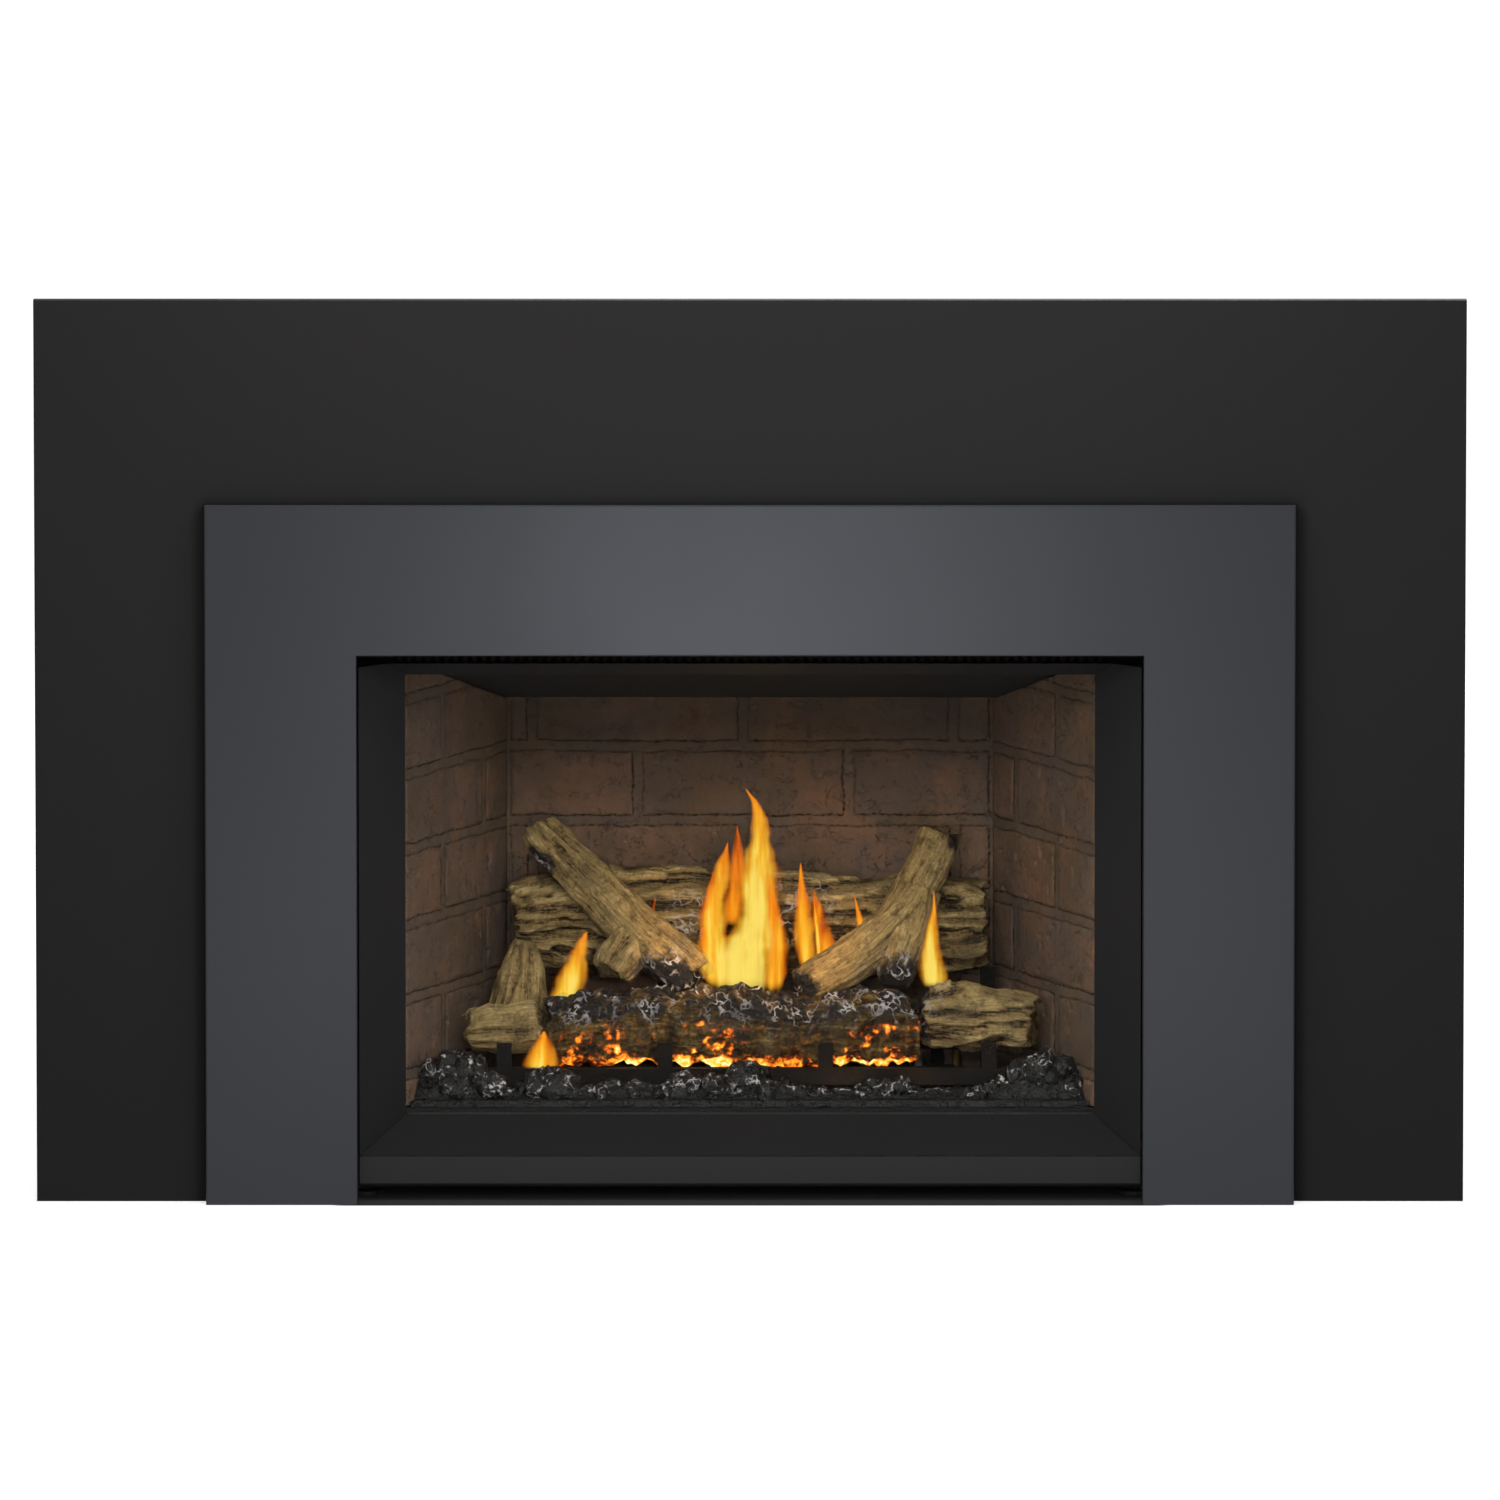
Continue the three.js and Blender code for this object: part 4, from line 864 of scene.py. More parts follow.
class FIREPLACE_OT_brick_liners(bpy.types.Operator):
    """Mould the rear and side brick liners of the firebox"""

    bl_idname = "fireplace.brick_liners"
    bl_label = "Brick liners"

    def execute(self, context):
        proud = context.scene.insert_sizes.brick_proud
        self.rear_liner(proud)
        self.side_liner("left", -1, proud)
        self.side_liner("right", 1, proud)
        return {"FINISHED"}

    def rear_liner(self, proud):
        low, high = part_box("rear_brick_panel")

        def place(x, z, height):
            y = np.full_like(x, high.y) if height is None else low.y + proud - height
            return np.stack([x, y, z], axis=-1)

        edge = REAR_HALF - proud - 0.001
        brick_panel("rear_liner", place, (low.x, high.x, low.z), lambda x: 0 * x + high.z,
                    (-edge, edge), REAR_JOINT, stands_for=("rear_brick_panel",))

    def side_liner(self, side, sign, proud):
        """A side liner lies on the splayed line from the door to the rear wall: a distance u
        along it is x = front half - u sin(splay), y = front + u cos(splay). The right one is
        laid from the rear to the door."""
        low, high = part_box(f"{side}_brick_panel")
        run, lean = math.cos(SPLAY), math.sin(SPLAY)
        first = (low.y - FIREBOX_FRONT) / run
        last = (high.y - FIREBOX_FRONT) / run

        def along(across):
            return across if sign < 0 else first + last - across

        def place(across, z, height):
            u = along(across)
            out_x, out_y = (-LINER_THICKNESS / run, 0) if height is None else (
                height * run, height * lean)
            x = FRONT_HALF - u * lean - out_x
            y = np.clip(FIREBOX_FRONT + u * run - out_y, low.y, high.y)
            return np.stack([sign * x, y, z], axis=-1)

        def top_at(across):
            share = along(across) * run / (FIREBOX_REAR - FIREBOX_FRONT)
            return CEILING_FRONT + share * (CEILING_REAR - CEILING_FRONT) - 0.0004

        full = math.hypot(FRONT_HALF - REAR_HALF, FIREBOX_REAR - FIREBOX_FRONT)
        edges = sorted(along(u) for u in (0.001, full - proud - 0.001))
        brick_panel(f"{side}_liner", place, (first, last, low.z), top_at, edges,
                    along(SIDE_JOINT), stands_for=(f"{side}_brick_panel",))


# ------------------------------------------------------------------ log set

# Shares of the radius that the rings of a broken end reach, and the height from one ledge of a
# log to the next.
END_REACH = np.array([0.08, 0.3, 0.55, 0.78, 0.93])
LEDGE_PITCH = 0.0145


def log_rings(line, start_radius, end_radius, phase, grain, around=132, spacing=0.0016,
              ledge=0.0):
    """Rings of a log, with the height of its grain from 0 to 1 and a surface map.

    The line through its points is the lowest polynomial over their chord length. Round it the
    radius swells slowly, draws in at the ends, bulges in long soft muscles, and carries ridges
    stretched along the log. Ledges are layers that come out towards their lower lip and drop
    back under it. The first and last rings close the broken, jagged ends."""
    line = np.asarray(line, float)
    chord = np.append(0, np.cumsum(np.linalg.norm(np.diff(line, axis=0), axis=1)))
    span = chord[-1]
    fits = [np.polyfit(chord / span, line[:, k], len(line) - 1) for k in range(3)]
    body_rings = int(span / spacing)
    ends = len(END_REACH)
    t = np.concatenate([np.zeros(ends), np.linspace(0, 1, body_rings), np.ones(ends)])
    reach = np.concatenate([END_REACH, np.ones(body_rings), END_REACH[::-1]])[:, None]
    centre = np.stack([np.polyval(f, t) for f in fits], axis=-1)
    along = np.stack([np.polyval(np.polyder(f), t) for f in fits], axis=-1)
    along /= np.linalg.norm(along, axis=1, keepdims=True)
    side = np.cross(along, (0.0, 0.0, 1.0))
    side /= np.linalg.norm(side, axis=1, keepdims=True)
    over = np.cross(side, along)
    angle = np.linspace(0, 2 * np.pi, around, endpoint=False)[None, :]
    t = t[:, None]

    def ring_points(radius):
        across, up = radius * np.cos(angle), radius * np.sin(angle)
        return centre[:, None] + side[:, None] * across[..., None] + over[:, None] * up[..., None]

    lumps = 0.05 * np.sin(3 * angle + 7 * t + phase)
    knots = 0.04 * np.sin(2 * angle - 11 * t + 2 * phase)
    taper = 1 - 0.2 * np.abs(2 * t - 1) ** 8
    radius = (start_radius + (end_radius - start_radius) * t) * (1 + lumps + knots) * taper
    mean = (start_radius + end_radius) / 2
    skin = np.stack(np.broadcast_arrays(
        t * span * 0.2, mean * np.cos(angle), mean * np.sin(angle)), axis=-1)
    seed = int(phase * 10)
    muscle = layered(skin * np.array([2.2, 1, 1]), 55, 2, seed + 2) - 0.5
    ridges = ridged(skin, 120, 4, seed)
    flakes = layered(skin * np.array([3.0, 1, 1]), 330, 2, seed + 5)
    radius = radius + grain * (muscle * 1.9 + (ridges - 0.6) * 1.7 + (flakes - 0.5) * 0.4)
    relief = np.clip(ridges * 0.62 + flakes * 0.2 + (muscle + 0.5) * 0.22, 0, 1)
    if ledge:
        points = ring_points(radius)
        warp = layered(points * np.array([0.45, 0, 1.0]), 55, 3, seed + 3) * 2.2
        part = (warp - points[..., 2] / LEDGE_PITCH) % 1
        step = smooth(part, 0.0, 0.62) * (1 - smooth(part, 0.84, 0.97))
        strength = ledge * (0.3 + 0.7 * smooth(np.abs(points[..., 0]), 0.085, 0.13))
        radius = radius + strength * (step - 0.62)
        # Pale lips and dark undercuts of the ledges: partly painted highlight and painted shade.
        relief = np.clip(relief * 0.55 + 0.5 * step * (0.5 + 0.5 * smooth(part, 0.4, 0.8)), 0, 1)
    points = ring_points(radius * reach)
    near_end = smooth(np.abs(2 * t - 1), 0.86, 1.0) * np.sign(t - 0.5)
    break_line = layered(points * np.array([0.3, 1.0, 1.0]), 120, 3, seed + 1) - 0.62
    points += along[:, None] * (near_end * 0.016 * break_line)[..., None]
    relief = np.where(reach < 1, 0.15 + 0.5 * layered(points, 240, 3, seed), relief)
    surface = np.stack(np.broadcast_arrays(t * span, angle * mean), axis=-1)
    return points, relief, surface


def in_pockets(points, pockets):
    """The strongest of the soft balls round some places: 1 inside, falling to 0 at 1.6 radii."""
    level = np.zeros(points.shape[:-1])
    for x, depth, z, radius in pockets:
        centre = np.array([x, FACE * 1000 + depth, z]) / 1000
        apart = np.linalg.norm(points - centre, axis=-1) / (radius / 1000)
        level = np.maximum(level, 1 - smooth(apart, 0.6, 1.6))
    return level


# Burnt places, and places with ash that is partly painted glints of light: x, depth behind the
# face, height and radius in mm.
CHARRED = (
    (-62, 146, 146, 22), (-40, 146, 143, 14), (112, 148, 140, 22), (36, 146, 139, 15),
    (-155, 186, 232, 13), (150, 190, 246, 8), (-150, 140, 108, 9), (130, 138, 114, 10),
    (0, 190, 170, 34),
)
ASH_AND_GLINT_POCKETS = (
    (-56, 143, 145, 24), (112, 146, 138, 26), (40, 143, 140, 12), (32, 190, 196, 24),
    (-38, 190, 186, 20), (-150, 186, 230, 9),
)


def mm(*triples):
    """(x, depth behind the surround's face, z) in millimetres as points in metres."""
    return [(x / 1000, FACE + d / 1000, z / 1000) for x, d, z in triples]


# Each tube of the logs: the points of its line, its radius at both ends, and its phase.
LOG_LINES = {
    "rear": (mm((-176, 219, 181), (-60, 218, 186), (60, 218, 182), (176, 219, 182)),
             0.034, 0.034, 0.4),
    "front_left": (mm((-211, 139, 110), (-184, 141, 112), (-154, 143, 115)), 0.015, 0.019, 1.3),
    "front_right": (mm((128, 143, 120), (170, 142, 119.5), (212, 138, 117)), 0.024, 0.021, 0.9),
    "centre": (mm((-150, 143, 115.5), (-60, 142, 119), (40, 142, 118), (124, 143, 119)),
               0.020, 0.022, 2.2),
    "left_cross": (mm((-158, 197, 256), (-110, 176, 206), (-38, 148, 146)), 0.015, 0.019, 1.7),
    "left_branch": (mm((-104, 150, 151), (-90, 158, 170), (-78, 163, 180)), 0.015, 0.015, 0.2),
    "right_cross": (mm((142, 196, 254), (118, 178, 202), (36, 148, 141)), 0.016, 0.015, 2.9),
    "right_fork": (mm((106, 153, 145), (116, 166, 172), (128, 182, 214)), 0.014, 0.015, 0.8),
    "stump": (mm((-172, 174, 93.2), (-170, 176, 135), (-168, 180, 174)), 0.032, 0.008, 2.4),
}
# Each log with bark: piece, CAD node, share of the grain's depth, ledge, and its tubes.
BARK_LOGS = (
    ("rear_log_bark", "rear_log", 1.0, 0.006, "rear"),
    ("front_left_log_bark", "front_left_log", 0.7, 0.0, "front_left"),
    ("front_right_log_bark", "front_right_log", 0.8, 0.0022, "front_right"),
    ("stump_bark", "left_stump_log", 0.6, 0.0, "stump"),
    ("left_cross_log_bark", "left_cross_log", 0.75, 0.0, "left_cross", "left_branch"),
    ("right_cross_log_bark", "right_cross_log", 0.75, 0.0, "right_cross", "right_fork"),
)


# Strength of the glow along x (mm) in the line of embers at the grate, and higher up the log.
GLOW_LINE = (
    (-170, 0.0), (-140, 0.5), (-128, 0.9), (-110, 0.35), (-95, 0.75), (-78, 0.75), (-66, 0.45),
    (-52, 1.0), (-20, 1.05), (5, 0.85), (14, 0.5), (45, 0.55), (60, 0.5), (70, 1.0), (92, 0.85),
    (104, 0.7), (120, 1.0), (142, 0.9), (150, 0.4), (156, 0.8), (164, 0.0),
)
GLOW_ABOVE = (
    (-150, 0.0), (-128, 0.62), (-115, 0.3), (-97, 0.7), (-90, 0.2), (-55, 0.3), (-36, 0.85),
    (-22, 0.72), (-8, 0.4), (6, 0.6), (16, 0.2), (60, 0.3), (92, 0.6), (104, 0.82), (116, 0.45),
    (130, 0.4), (150, 0.0),
)


def ember_glow(points):
    """Glow of the embers on the front of the middle log: strong along the grate and weaker
    above, broken up into cells and patches."""
    x, y, z = (points[..., k] for k in range(3))
    line = np.interp(x * 1000, *zip(*GLOW_LINE)) * (1 - smooth(z, 0.088, 0.099))
    above = np.interp(x * 1000, *zip(*GLOW_ABOVE)) * (1 - smooth(z, 0.112, 0.126))
    front = 1 - smooth(y, FACE + 0.136, FACE + 0.146)
    cells = 1 - smooth(cell_distance(points, 125, seed=2), 0.15, 0.7)
    patches = smooth(layered(points, 95, 3, seed=6), 0.36, 0.6)
    level = np.maximum(line * (0.45 + 0.75 * patches), above * patches * (0.35 + 0.85 * cells))
    return np.clip(level * front, 0, 1)


class FIREPLACE_OT_logs(bpy.types.Operator):
    """Shape the ceramic logs, with bark, broken ends and burnt places"""

    bl_idname = "fireplace.logs"
    bl_label = "Log set"

    def execute(self, context):
        grain = context.scene.insert_sizes.bark_depth
        for name, node, share, ledge, *keys in BARK_LOGS:
            tubes = []
            for key in keys:
                points, relief, surface = log_rings(*LOG_LINES[key], grain * share, ledge=ledge)
                values = {"relief": relief, "char": in_pockets(points, CHARRED),
                          "ash": in_pockets(points, ASH_AND_GLINT_POCKETS), "glow": relief * 0}
                tubes.append((points, values, surface))
            tube_piece(name, tubes, finish("bark"), stands_for=(node,), slot="log_ceramic")
        return {"FINISHED"}


LEDGE_TOP = 0.066
SIDE_GAP = 0.0045
LUMPS = 280
# Height of the charcoal above its ledge along x, in mm.
HEAPS = (
    (-250, 16), (-235, 26), (-215, 29), (-197, 27), (-188, 12), (-180, 5), (-168, 9), (-158, 18),
    (-148, 21), (-138, 17), (-132, 7), (-116, 7), (-98, 12), (-88, 13), (-80, 10), (-66, 10),
    (-52, 17), (-42, 14), (-28, 13), (-16, 20), (-2, 23), (8, 19), (16, 10), (30, 11), (48, 6),
    (60, 3), (80, 8), (95, 12), (114, 12), (128, 6), (148, 4), (168, 8), (190, 12), (198, 24),
    (212, 31), (224, 33), (234, 24), (242, 14), (250, 9),
)


def bed_half(y):
    """Half width of the firebox between its splayed liners at y."""
    return FRONT_HALF - (y - FIREBOX_FRONT) * math.tan(SPLAY)


def heap_height(x):
    """Height of the charcoal heaps at x, in metres, on straight lines between the table's."""
    return np.interp(x * 1000, *zip(*HEAPS)) / 1000


class FIREPLACE_OT_embers(bpy.types.Operator):
    """Make the charred middle log with its ash crust and painted glints, and the charcoal bed"""

    bl_idname = "fireplace.embers"
    bl_label = "Embers and charcoal"

    def execute(self, context):
        sizes = context.scene.insert_sizes
        self.charred_log(sizes)
        self.charcoal_bed()
        self.loose_charcoal(sizes)
        return {"FINISHED"}

    def charred_log(self, sizes):
        """The middle log: the log rings pushed out by cellular lumps and crumpled ridges, with
        pale ash, partly painted glints of light, on the crests of its upper side, and embers low
        on its front."""
        points, _, surface = log_rings(*LOG_LINES["centre"], sizes.bark_depth * 0.5,
                                       around=170, spacing=0.0014)
        middle = points.mean(axis=1, keepdims=True)
        out = points - middle
        out /= np.maximum(np.linalg.norm(out, axis=-1, keepdims=True), 1e-6)
        lumps = 1 - cell_distance(points, 70, seed=4)
        crumple = ridged(points, 140, 4, seed=7)
        sway = layered(middle * np.array([1.0, 0.0, 0.0]), 26, 2, seed=17) - 0.5
        points = points + out * (0.010 * (lumps - 0.5) + 0.0055 * (crumple - 0.6))[..., None]
        points[..., 2] += 0.012 * (sway - smooth(-out[..., 2], -0.1, 0.8))
        upper = smooth(out[..., 2], -0.35, 0.45)
        bare = smooth(layered(points, 60, 3, seed=21), 0.42, 0.62)
        # Pale ash on the upper side, partly painted glints where light falls from above.
        ash = upper * (1.2 - 0.8 * bare)
        char = 0.05 + 0.7 * upper * smooth(layered(points, 75, 3, seed=30), 0.3, 0.55)
        values = {"relief": crumple * 0.8, "char": char, "ash": ash, "glow": ember_glow(points)}
        tube_piece("charred_log_crust", [(points, values, surface)], finish("crust"),
                   stands_for=("centre_charred_log",), slot="charred_ceramic")

    def charcoal_bed(self):
        """The bed: a ledge at the front and, behind a slope, crumpled heaps, as a height over
        (x, y), closed by a flat underside."""
        low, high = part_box("ember_bed")
        columns, rows = 420, 46
        x, y = np.meshgrid(np.linspace(low.x, high.x, columns),
                           np.linspace(low.y, high.y, rows))
        half = bed_half(y) - SIDE_GAP
        x = x * half / high.x
        place = np.stack([x, y, np.zeros_like(x)], axis=-1)
        rise = smooth(y, FACE + 0.088, FACE + 0.097)
        lumps = 0.002 + 0.005 * (1 - cell_distance(place, 95, seed=1)) * layered(place, 40, 2)
        crumple = ridged(place, 240, 2, seed=3)
        z = LEDGE_TOP + rise * (lumps + 0.45 * heap_height(x) + 0.002 * (crumple - 0.5))
        z += 0.0006 * layered(place, 200, 3)
        # The relief sets the painted glints on the crests in the charcoal finish.
        relief = np.clip(rise * (crumple - 0.15), 0, 1)
        top = np.stack([x, y, z], axis=-1)
        floor = np.stack([x, y, np.full_like(z, low.z)], axis=-1)
        points = np.concatenate([floor[:1], top, floor[-1:]]).reshape(-1, 3)
        faces = grid_faces(rows + 2, columns)[:, ::-1]
        bottom = [0, columns - 1, (rows + 2) * columns - 1, (rows + 1) * columns]
        left = np.arange(rows + 2) * columns
        ends = [left.tolist(), (left[::-1] + columns - 1).tolist()]
        shade = np.concatenate([relief[:1], relief, relief[-1:]]).reshape(-1)
        mesh_piece("charcoal_bed", points, faces.tolist() + [bottom[::-1]] + ends,
                   finish("charcoal"), values={"relief": shade}, stands_for=("ember_bed",),
                   slot="charred_ceramic")

    def loose_charcoal(self, sizes):
        """Loose lumps: a sphere grid, squashed and crumpled differently for each, set along the
        bed by a seeded draw and stacked up to the heaps' height."""
        draw = np.random.default_rng(5)
        count, reach = LUMPS, 0.244
        x = draw.uniform(-reach, reach, count)
        crowd = heap_height(x) / 0.03
        x = np.where(draw.random(count) < 0.25 + crowd, x, draw.uniform(-reach, reach, count))
        y = FACE + draw.uniform(0.093, 0.109, count)
        half = bed_half(y) - SIDE_GAP - 0.006
        x = np.clip(x, -half, half)
        heap = heap_height(x) - 0.006
        z = LEDGE_TOP + 0.003 + np.maximum(heap, 0.0) * draw.uniform(0.1, 1.0, count)
        size = sizes.charcoal * draw.uniform(0.7, 1.8, count)
        size *= 0.45 + 0.55 * np.clip(heap / 0.012, 0, 1)
        rings, around = 7, 9
        polar = np.linspace(0.22, np.pi - 0.22, rings)[:, None]
        turn = np.linspace(0, 2 * np.pi, around, endpoint=False)[None, :]
        ball = np.stack(np.broadcast_arrays(
            np.sin(polar) * np.cos(turn), np.sin(polar) * np.sin(turn), np.cos(polar)), axis=-1)
        stretch = draw.uniform(0.6, 1.3, (count, 1, 1, 3))
        centres = np.stack([x, y, z], axis=-1)[:, None, None]
        shapes = ball[None] * stretch
        rough = 0.55 + 0.95 * ridged(shapes + centres * 90, 1.9, 2, seed=12)[..., None]
        shapes = shapes * rough * size[:, None, None, None] + centres
        shapes[..., 2] = np.maximum(shapes[..., 2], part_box("ember_bed")[0].z)
        # The tone sets the painted glints on the lumps' crests.
        tone = ridged(shapes, 260, 2, seed=3) - 0.14
        tubes = [(shape, {"relief": level}) for shape, level in zip(shapes, tone)]
        tube_piece("loose_charcoal", tubes, finish("charcoal"), slot="charred_ceramic",
                   flat_angle=60)


# ------------------------------------------------------------------ flames

# Each flame: depth behind the face, heat, and rows of x, height and half width, all in mm.
FLAMES = (
    (150, 1.15, ((-7, 134, 14), (-6, 146, 25), (-5, 160, 28), (0, 174, 25), (4.5, 187, 18),
                 (5, 202, 16), (5, 217, 15.5), (6, 230, 14), (7, 241, 11), (7.6, 253, 8),
                 (7, 268, 6.2), (3.5, 280, 3.6), (-3, 290, 0.3))),
    (152, 0.95, ((-22, 140, 8), (-27, 156, 11), (-28, 176, 10.5), (-27, 200, 9), (-24, 216, 8.5),
                 (-20, 232, 6), (-16.5, 250, 0.3))),
    (155, 0.5, ((-30, 160, 7), (-32, 182, 6), (-30, 205, 5.5), (-27, 228, 0.3))),
    (156, 0.6, ((-14, 186, 6), (-12, 205, 8), (-9.5, 225, 6), (-9, 244, 4), (-9.5, 262, 0.3))),
    (148, 0.7, ((17, 138, 6), (20, 158, 9), (20, 178, 7.5), (17, 205, 4), (15, 225, 0.5))),
    (170, 0.8, ((43, 152, 6), (41, 172, 7.5), (39.5, 195, 6.5), (38.5, 213, 4), (37.6, 232, 0.3))),
    (172, 0.55, ((57, 156, 8), (57, 168, 8), (53, 184, 7), (50, 199, 4.5), (47, 213, 0.3))),
    (168, 1.0, ((51.5, 155, 1.8), (51, 170, 2), (49.5, 188, 1.8), (47, 207, 0.3))),
    (172, 0.75, ((84, 176, 4), (81.5, 190, 2.8), (77.5, 208, 0.3))),
    (150, 1.1, ((137, 141, 8), (136, 150, 10), (134.5, 160, 9.5), (134.2, 173, 7),
                (135.5, 187, 4.2), (136.6, 200, 2), (136.2, 214, 0.3))),
    (150, 1.05, ((-147, 125, 3), (-140, 132, 9), (-134, 143, 11.5), (-130, 157, 9.5),
                 (-126, 170, 6.5), (-121.5, 183, 1.2))),
    (172, 0.4, ((-75, 179, 3.5), (-73, 192, 2.6), (-70, 207, 0.3))),
    (118, 0.8, ((-154, 85, 14), (-154, 94, 12), (-153, 104, 7), (-152.5, 113, 0.6))),
)


class FIREPLACE_OT_flames(bpy.types.Operator):
    """Light the flames above the logs"""

    bl_idname = "fireplace.flames"
    bl_label = "Flames"

    def execute(self, context):
        bulge = context.scene.insert_sizes.flame_bulge
        tube_piece("flames", [self.tongue(*flame, bulge) for flame in FLAMES], finish("flame"))
        return {"FINISHED"}

    def tongue(self, depth, heat, rows, bulge):
        """A flame: flat elliptical rings along the curve through its rows. Its heat is highest
        at the heart, low down, and its cover falls to nothing at the rim, foot and tip."""
        steps, around = 72, 32
        x, z, half = (spline(rows, steps)[:, k:k + 1] / 1000 for k in range(3))
        half = np.maximum(half, 0.0002) * 1.34
        turn = np.linspace(0, 2 * np.pi, around, endpoint=False)[None, :]
        across = np.cos(turn)
        thick = np.sin(turn) * np.minimum(bulge, half * 0.7)
        sides = np.stack(np.broadcast_arrays(x + half * np.sign(across), z, 0 * across), axis=-1)
        lick = layered(sides * np.array([1.0, 0.55, 1.0]), 150, 3, seed=int(depth) + 3) - 0.5
        across = across * (1 + 0.85 * lick * smooth(z, z[0, 0] + 0.006, z[0, 0] + 0.03))
        points = np.stack(np.broadcast_arrays(
            x + half * across, FACE + depth / 1000 - thick, z + 0 * across), axis=-1)
        across = np.cos(turn)
        t = np.linspace(0, 1, steps)[:, None]
        waver = noise(points * np.array([1.0, 1.0, 0.3]), 210, seed=int(depth)) - 0.5
        heart = 1 - np.abs(across) ** 2.2
        level = heat * heart * (1.05 - 0.5 * t ** 1.3) + 0.3 * waver
        rim = smooth(1 - np.abs(across), 0.02, 0.85) ** 1.5 * smooth(t, 0.0, 0.12)
        cover = rim * min(1.0, heat + 0.2) * (1 - 0.3 * t) * (1 + 0.6 * waver)
        return points, {"flame_heat": np.clip(level, 0, 1.2), "flame_cover": np.clip(cover, 0, 1)}


# ------------------------------------------------------------------ carried-over nodes

NODE_FINISHES = {
    "bezel": ("bezel_bottom", "bezel_top", "bezel_left", "bezel_right"),
    # The levelling feet and the base pan are black partly as painted shade, to keep the gap under
    # the access bar dark.
    "black": (
        "glass_frame", "front_frame", "firebox_shell", "ceiling_baffle", "blower_wheel",
        "front_left_levelling_foot", "front_right_levelling_foot", "rear_left_levelling_foot",
        "rear_right_levelling_foot", "base_pan",
    ),
    "glass": ("glass_pane",),
    "rope": ("glass_gasket",),
    "cast": (
        "log_grate", "burner_pan", "air_outlet_comb", "blower_motor", "venturi_tube",
        "air_shutter", "pilot_burner",
    ),
    "galvanised": (
        "case_left_panel", "case_right_panel", "case_rear_panel", "case_top_panel",
        "surround_hanger_rail", "exhaust_collar", "air_intake_collar", "blower_housing",
        "control_bracket", "left_door_catch", "right_door_catch",
    ),
    "brass": ("gas_valve", "gas_inlet_fitting", "gas_supply_tube", "thermopile"),
    "plastic": (
        "gas_valve_knob", "flame_height_knob", "fan_speed_dial", "igniter_button",
        "igniter_body", "power_inlet",
    ),
    "porcelain": ("spark_electrode",),
}


class FIREPLACE_OT_finishes(bpy.types.Operator):
    """Give every piece of the frame that stays in view its finish"""

    bl_idname = "fireplace.finishes"
    bl_label = "Finishes of the frame"

    def execute(self, context):
        for name, nodes in NODE_FINISHES.items():
            for node in nodes:
                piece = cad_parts[node]
                piece.data.materials.clear()
                piece.data.materials.append(finish(name))
        return {"FINISHED"}


# ------------------------------------------------------------------ stage

CAMERA_TARGET = Vector((0.0, -0.180, 0.3345))
CAMERA_DISTANCE = 14.0
CAMERA_DOWN = math.radians(6.75)
PIXELS_PER_METRE = 1362.0
PHOTO_WIDTH = 1500

WORLD_LIGHT = 0.01
FLOOR_REACH = 30.0
FLOOR_DROP = 0.0005
# The painted shadow under the object, a dark patch of floor without glow: half its width and
# half its depth, each with the place where its soft edge ends.
PAINTED_SHADOW_WIDTH = (0.3, 0.308)
PAINTED_SHADOW_DEPTH = (0.1985, 0.2015)
FIRELIGHT = (1.0, 0.6, 0.26)
# Soft lamps: name, place, target, width and height, power, tint.
LAMPS = (
    ("top_lamp", (0.0, -0.60, 1.10), (0.0, -0.18, 0.55), (1.1, 0.3), 5.2, WHITE),
    ("highlight_lamp", (0.0, -1.2, 0.33), (0.0, -0.2, 0.42), (0.2, 0.08), 2.3, WHITE),
    ("left_strip_lamp", (-0.33, -0.9, 0.1), (-0.33, -0.2, 0.15), (0.14, 0.16), 0.18, WHITE),
    ("right_strip_lamp", (0.33, -0.9, 0.1), (0.33, -0.2, 0.15), (0.14, 0.16), 0.18, WHITE),
    ("front_lamp", (0.0, -1.7, 1.15), (0.0, -0.15, 0.2), (1.2, 0.5), 18.0, WHITE),
    ("rear_lamp", (0.6, 2.6, 1.9), (0.0, 0.0, 0.3), (1.6, 1.6), 60.0, WHITE),
    ("flame_lamp", (0.0, -0.085, 0.18), (0.0, 0.06, 0.19), (0.14, 0.08), 0.085, FIRELIGHT),
    ("ember_lamp", (0.0, -0.095, 0.072), (0.0, -0.07, 0.15), (0.28, 0.02), 0.08, FIRELIGHT),
)
MIRRORED = ("top_lamp", "highlight_lamp", "left_strip_lamp", "right_strip_lamp", "rear_lamp")


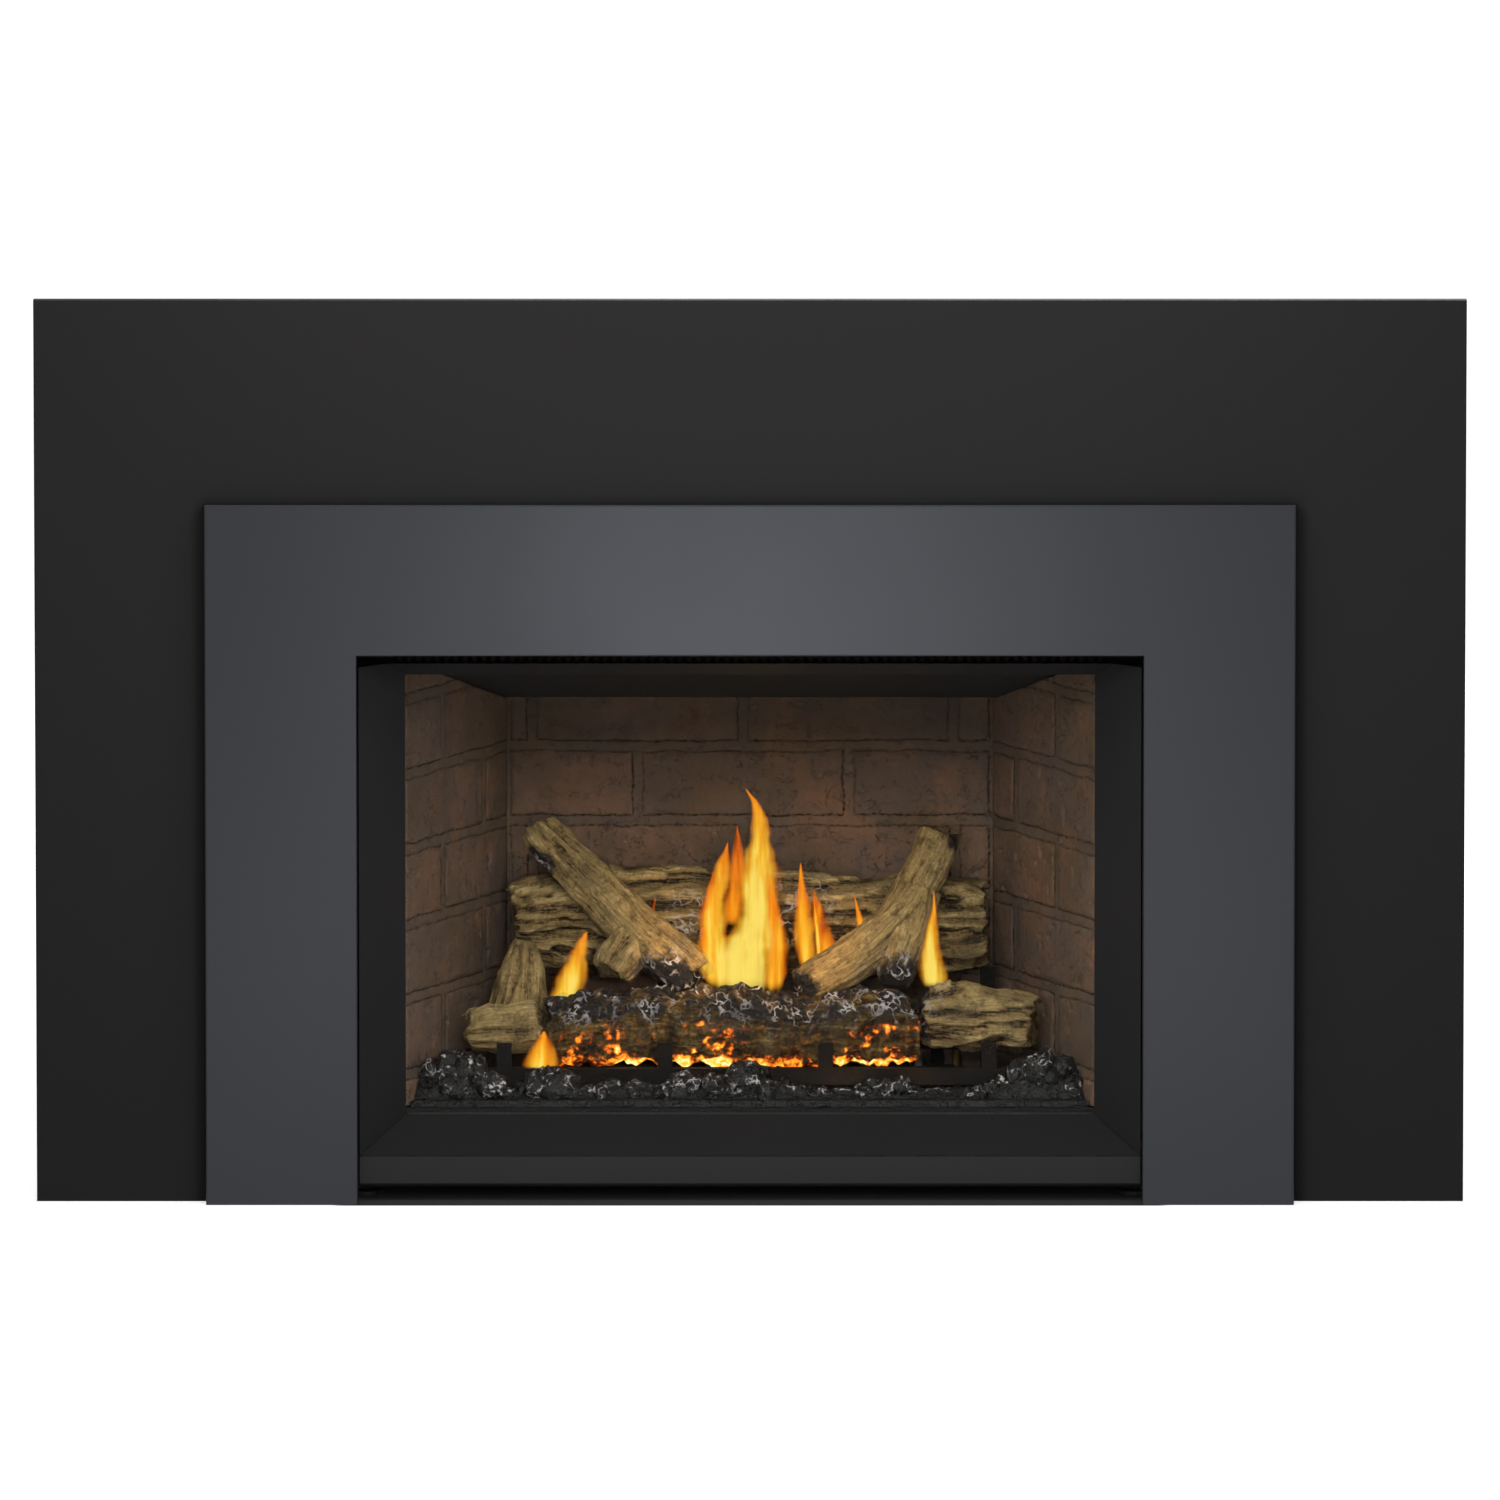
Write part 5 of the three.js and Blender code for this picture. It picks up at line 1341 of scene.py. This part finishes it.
class FIREPLACE_OT_stage(bpy.types.Operator):
    """Set up the floor, backdrop, lamps and camera"""

    bl_idname = "fireplace.stage"
    bl_label = "Stage"

    def execute(self, context):
        scene = context.scene
        scene.view_settings.view_transform = "Standard"
        self.floor()
        self.lamps()
        self.world(scene)
        self.camera(scene)
        return {"FINISHED"}

    def floor(self):
        """A square floor just under the feet, pale where lamps light it, with a dark patch under
        the object that is painted shadow. To the camera, and in mirrors and glass, it glows
        towards white, fully so away from the object, which leaves the object's shadow beside it;
        the painted shadow has no glow."""
        corners = FLOOR_REACH * np.array([(-1, -1), (1, -1), (1, 1), (-1, 1)])
        mesh = bpy.data.meshes.new("floor")
        mesh.from_pydata(np.insert(corners, 2, -FLOOR_DROP, axis=1), [], [(0, 1, 2, 3)])
        shader = Shader("pale_floor", "f2f2f2", 0.9)
        where = shader.place()
        distance = shader.node("VectorMath", [(0, where)], operation="LENGTH")
        beside = shader.range(shader.away(shader.apart(where, "X")), *PAINTED_SHADOW_WIDTH)
        before = shader.range(shader.away(shader.apart(where, "Y")), *PAINTED_SHADOW_DEPTH)
        clear = shader.math("MAXIMUM", beside, before)
        pale = shader.ramp(shader.noise(where, 3.0), [(0.3, "c8c8c8"), (0.7, "cccccc")])
        # Inside the object's footprint the floor is painted shadow: dark, and without glow.
        shader.feed("Base Color", shader.mix(clear, "1a1a1a", pale))
        level = shader.range(distance.outputs["Value"], 0.9, 2.2, 0.72, 1.0)
        level = shader.math("MAXIMUM", level, shader.rays("Glossy"))
        level = shader.times(level, clear)
        shader.feed("Emission Color", shader.ramp(level, [(0.0, BLACK), (1.0, WHITE)]))
        shader.feed("Emission Strength", shader.rays("Camera", "Transmission", "Glossy"))
        floor = bpy.data.objects.new("floor", mesh)
        mesh.materials.append(shader.material)
        bpy.context.scene.collection.objects.link(floor)

    def lamps(self):
        for name, place, target, size, power, tint in LAMPS:
            light = bpy.data.lights.new(name, "AREA")
            light.shape = "RECTANGLE"
            light.size, light.size_y = size
            light.energy = power
            light.color = tint
            lamp = bpy.data.objects.new(name, light)
            lamp.location = place
            aim = Vector(target) - Vector(place)
            lamp.rotation_euler = aim.to_track_quat("-Z", "Y").to_euler()
            bpy.context.scene.collection.objects.link(lamp)
            lamp.visible_camera = False
            lamp.visible_transmission = False
            lamp.visible_glossy = name in MIRRORED

    def world(self, scene):
        """White to the camera, through glass and in mirrors, and a faint light for the rest."""
        world = bpy.data.worlds.new("studio")
        scene.world = world
        world.use_nodes = True
        nodes = Nodes(world.node_tree)
        back = nodes.tree.nodes["Background"]
        nodes.put(WHITE, back.inputs["Color"])
        seen = nodes.rays("Camera", "Transmission", "Glossy")
        nodes.put(nodes.range(seen, 0.0, 1.0, WORLD_LIGHT, 1.0), back.inputs["Strength"])

    def camera(self, scene):
        """The photograph's view: a long lens, looking down by a few degrees."""
        lens = bpy.data.cameras.new("photo_camera")
        lens.lens = lens.sensor_width * CAMERA_DISTANCE * PIXELS_PER_METRE / PHOTO_WIDTH
        lens.clip_end = 200.0
        camera = bpy.data.objects.new("photo_camera", lens)
        away = Vector((0.0, -math.cos(CAMERA_DOWN), math.sin(CAMERA_DOWN)))
        camera.location = CAMERA_TARGET + away * CAMERA_DISTANCE
        camera.rotation_euler = (-away).to_track_quat("-Z", "Y").to_euler()
        scene.collection.objects.link(camera)
        scene.camera = camera


# ------------------------------------------------------------------ add-on


class FIREPLACE_PT_panel(bpy.types.Panel):
    """Lists the steps that build the insert, with its sizes and colours"""

    bl_idname = "FIREPLACE_PT_panel"
    bl_label = "Gas insert"
    bl_space_type = "VIEW_3D"
    bl_region_type = "UI"
    bl_category = "Fireplace"

    def draw(self, context):
        for operator in STEPS:
            self.layout.operator(operator.bl_idname)
        for group in (context.scene.insert_sizes, context.scene.insert_colours):
            box = self.layout.box()
            for key in group.bl_rna.properties.keys():
                if key not in ("rna_type", "name"):
                    box.prop(group, key)


STEPS = (
    FIREPLACE_OT_stage,
    FIREPLACE_OT_surround,
    FIREPLACE_OT_brick_liners,
    FIREPLACE_OT_logs,
    FIREPLACE_OT_embers,
    FIREPLACE_OT_flames,
    FIREPLACE_OT_finishes,
)
CLASSES = (InsertSizes, InsertColours, *STEPS, FIREPLACE_PT_panel)


def register():
    for made in CLASSES:
        bpy.utils.register_class(made)
    bpy.types.Scene.insert_sizes = bpy.props.PointerProperty(type=InsertSizes)
    bpy.types.Scene.insert_colours = bpy.props.PointerProperty(type=InsertColours)


def unregister():
    del bpy.types.Scene.insert_colours
    del bpy.types.Scene.insert_sizes
    for made in reversed(CLASSES):
        bpy.utils.unregister_class(made)


def main():
    register()
    for step in STEPS:
        group, name = step.bl_idname.split(".")
        getattr(getattr(bpy.ops, group), name)()


if __name__ == "__main__":
    main()
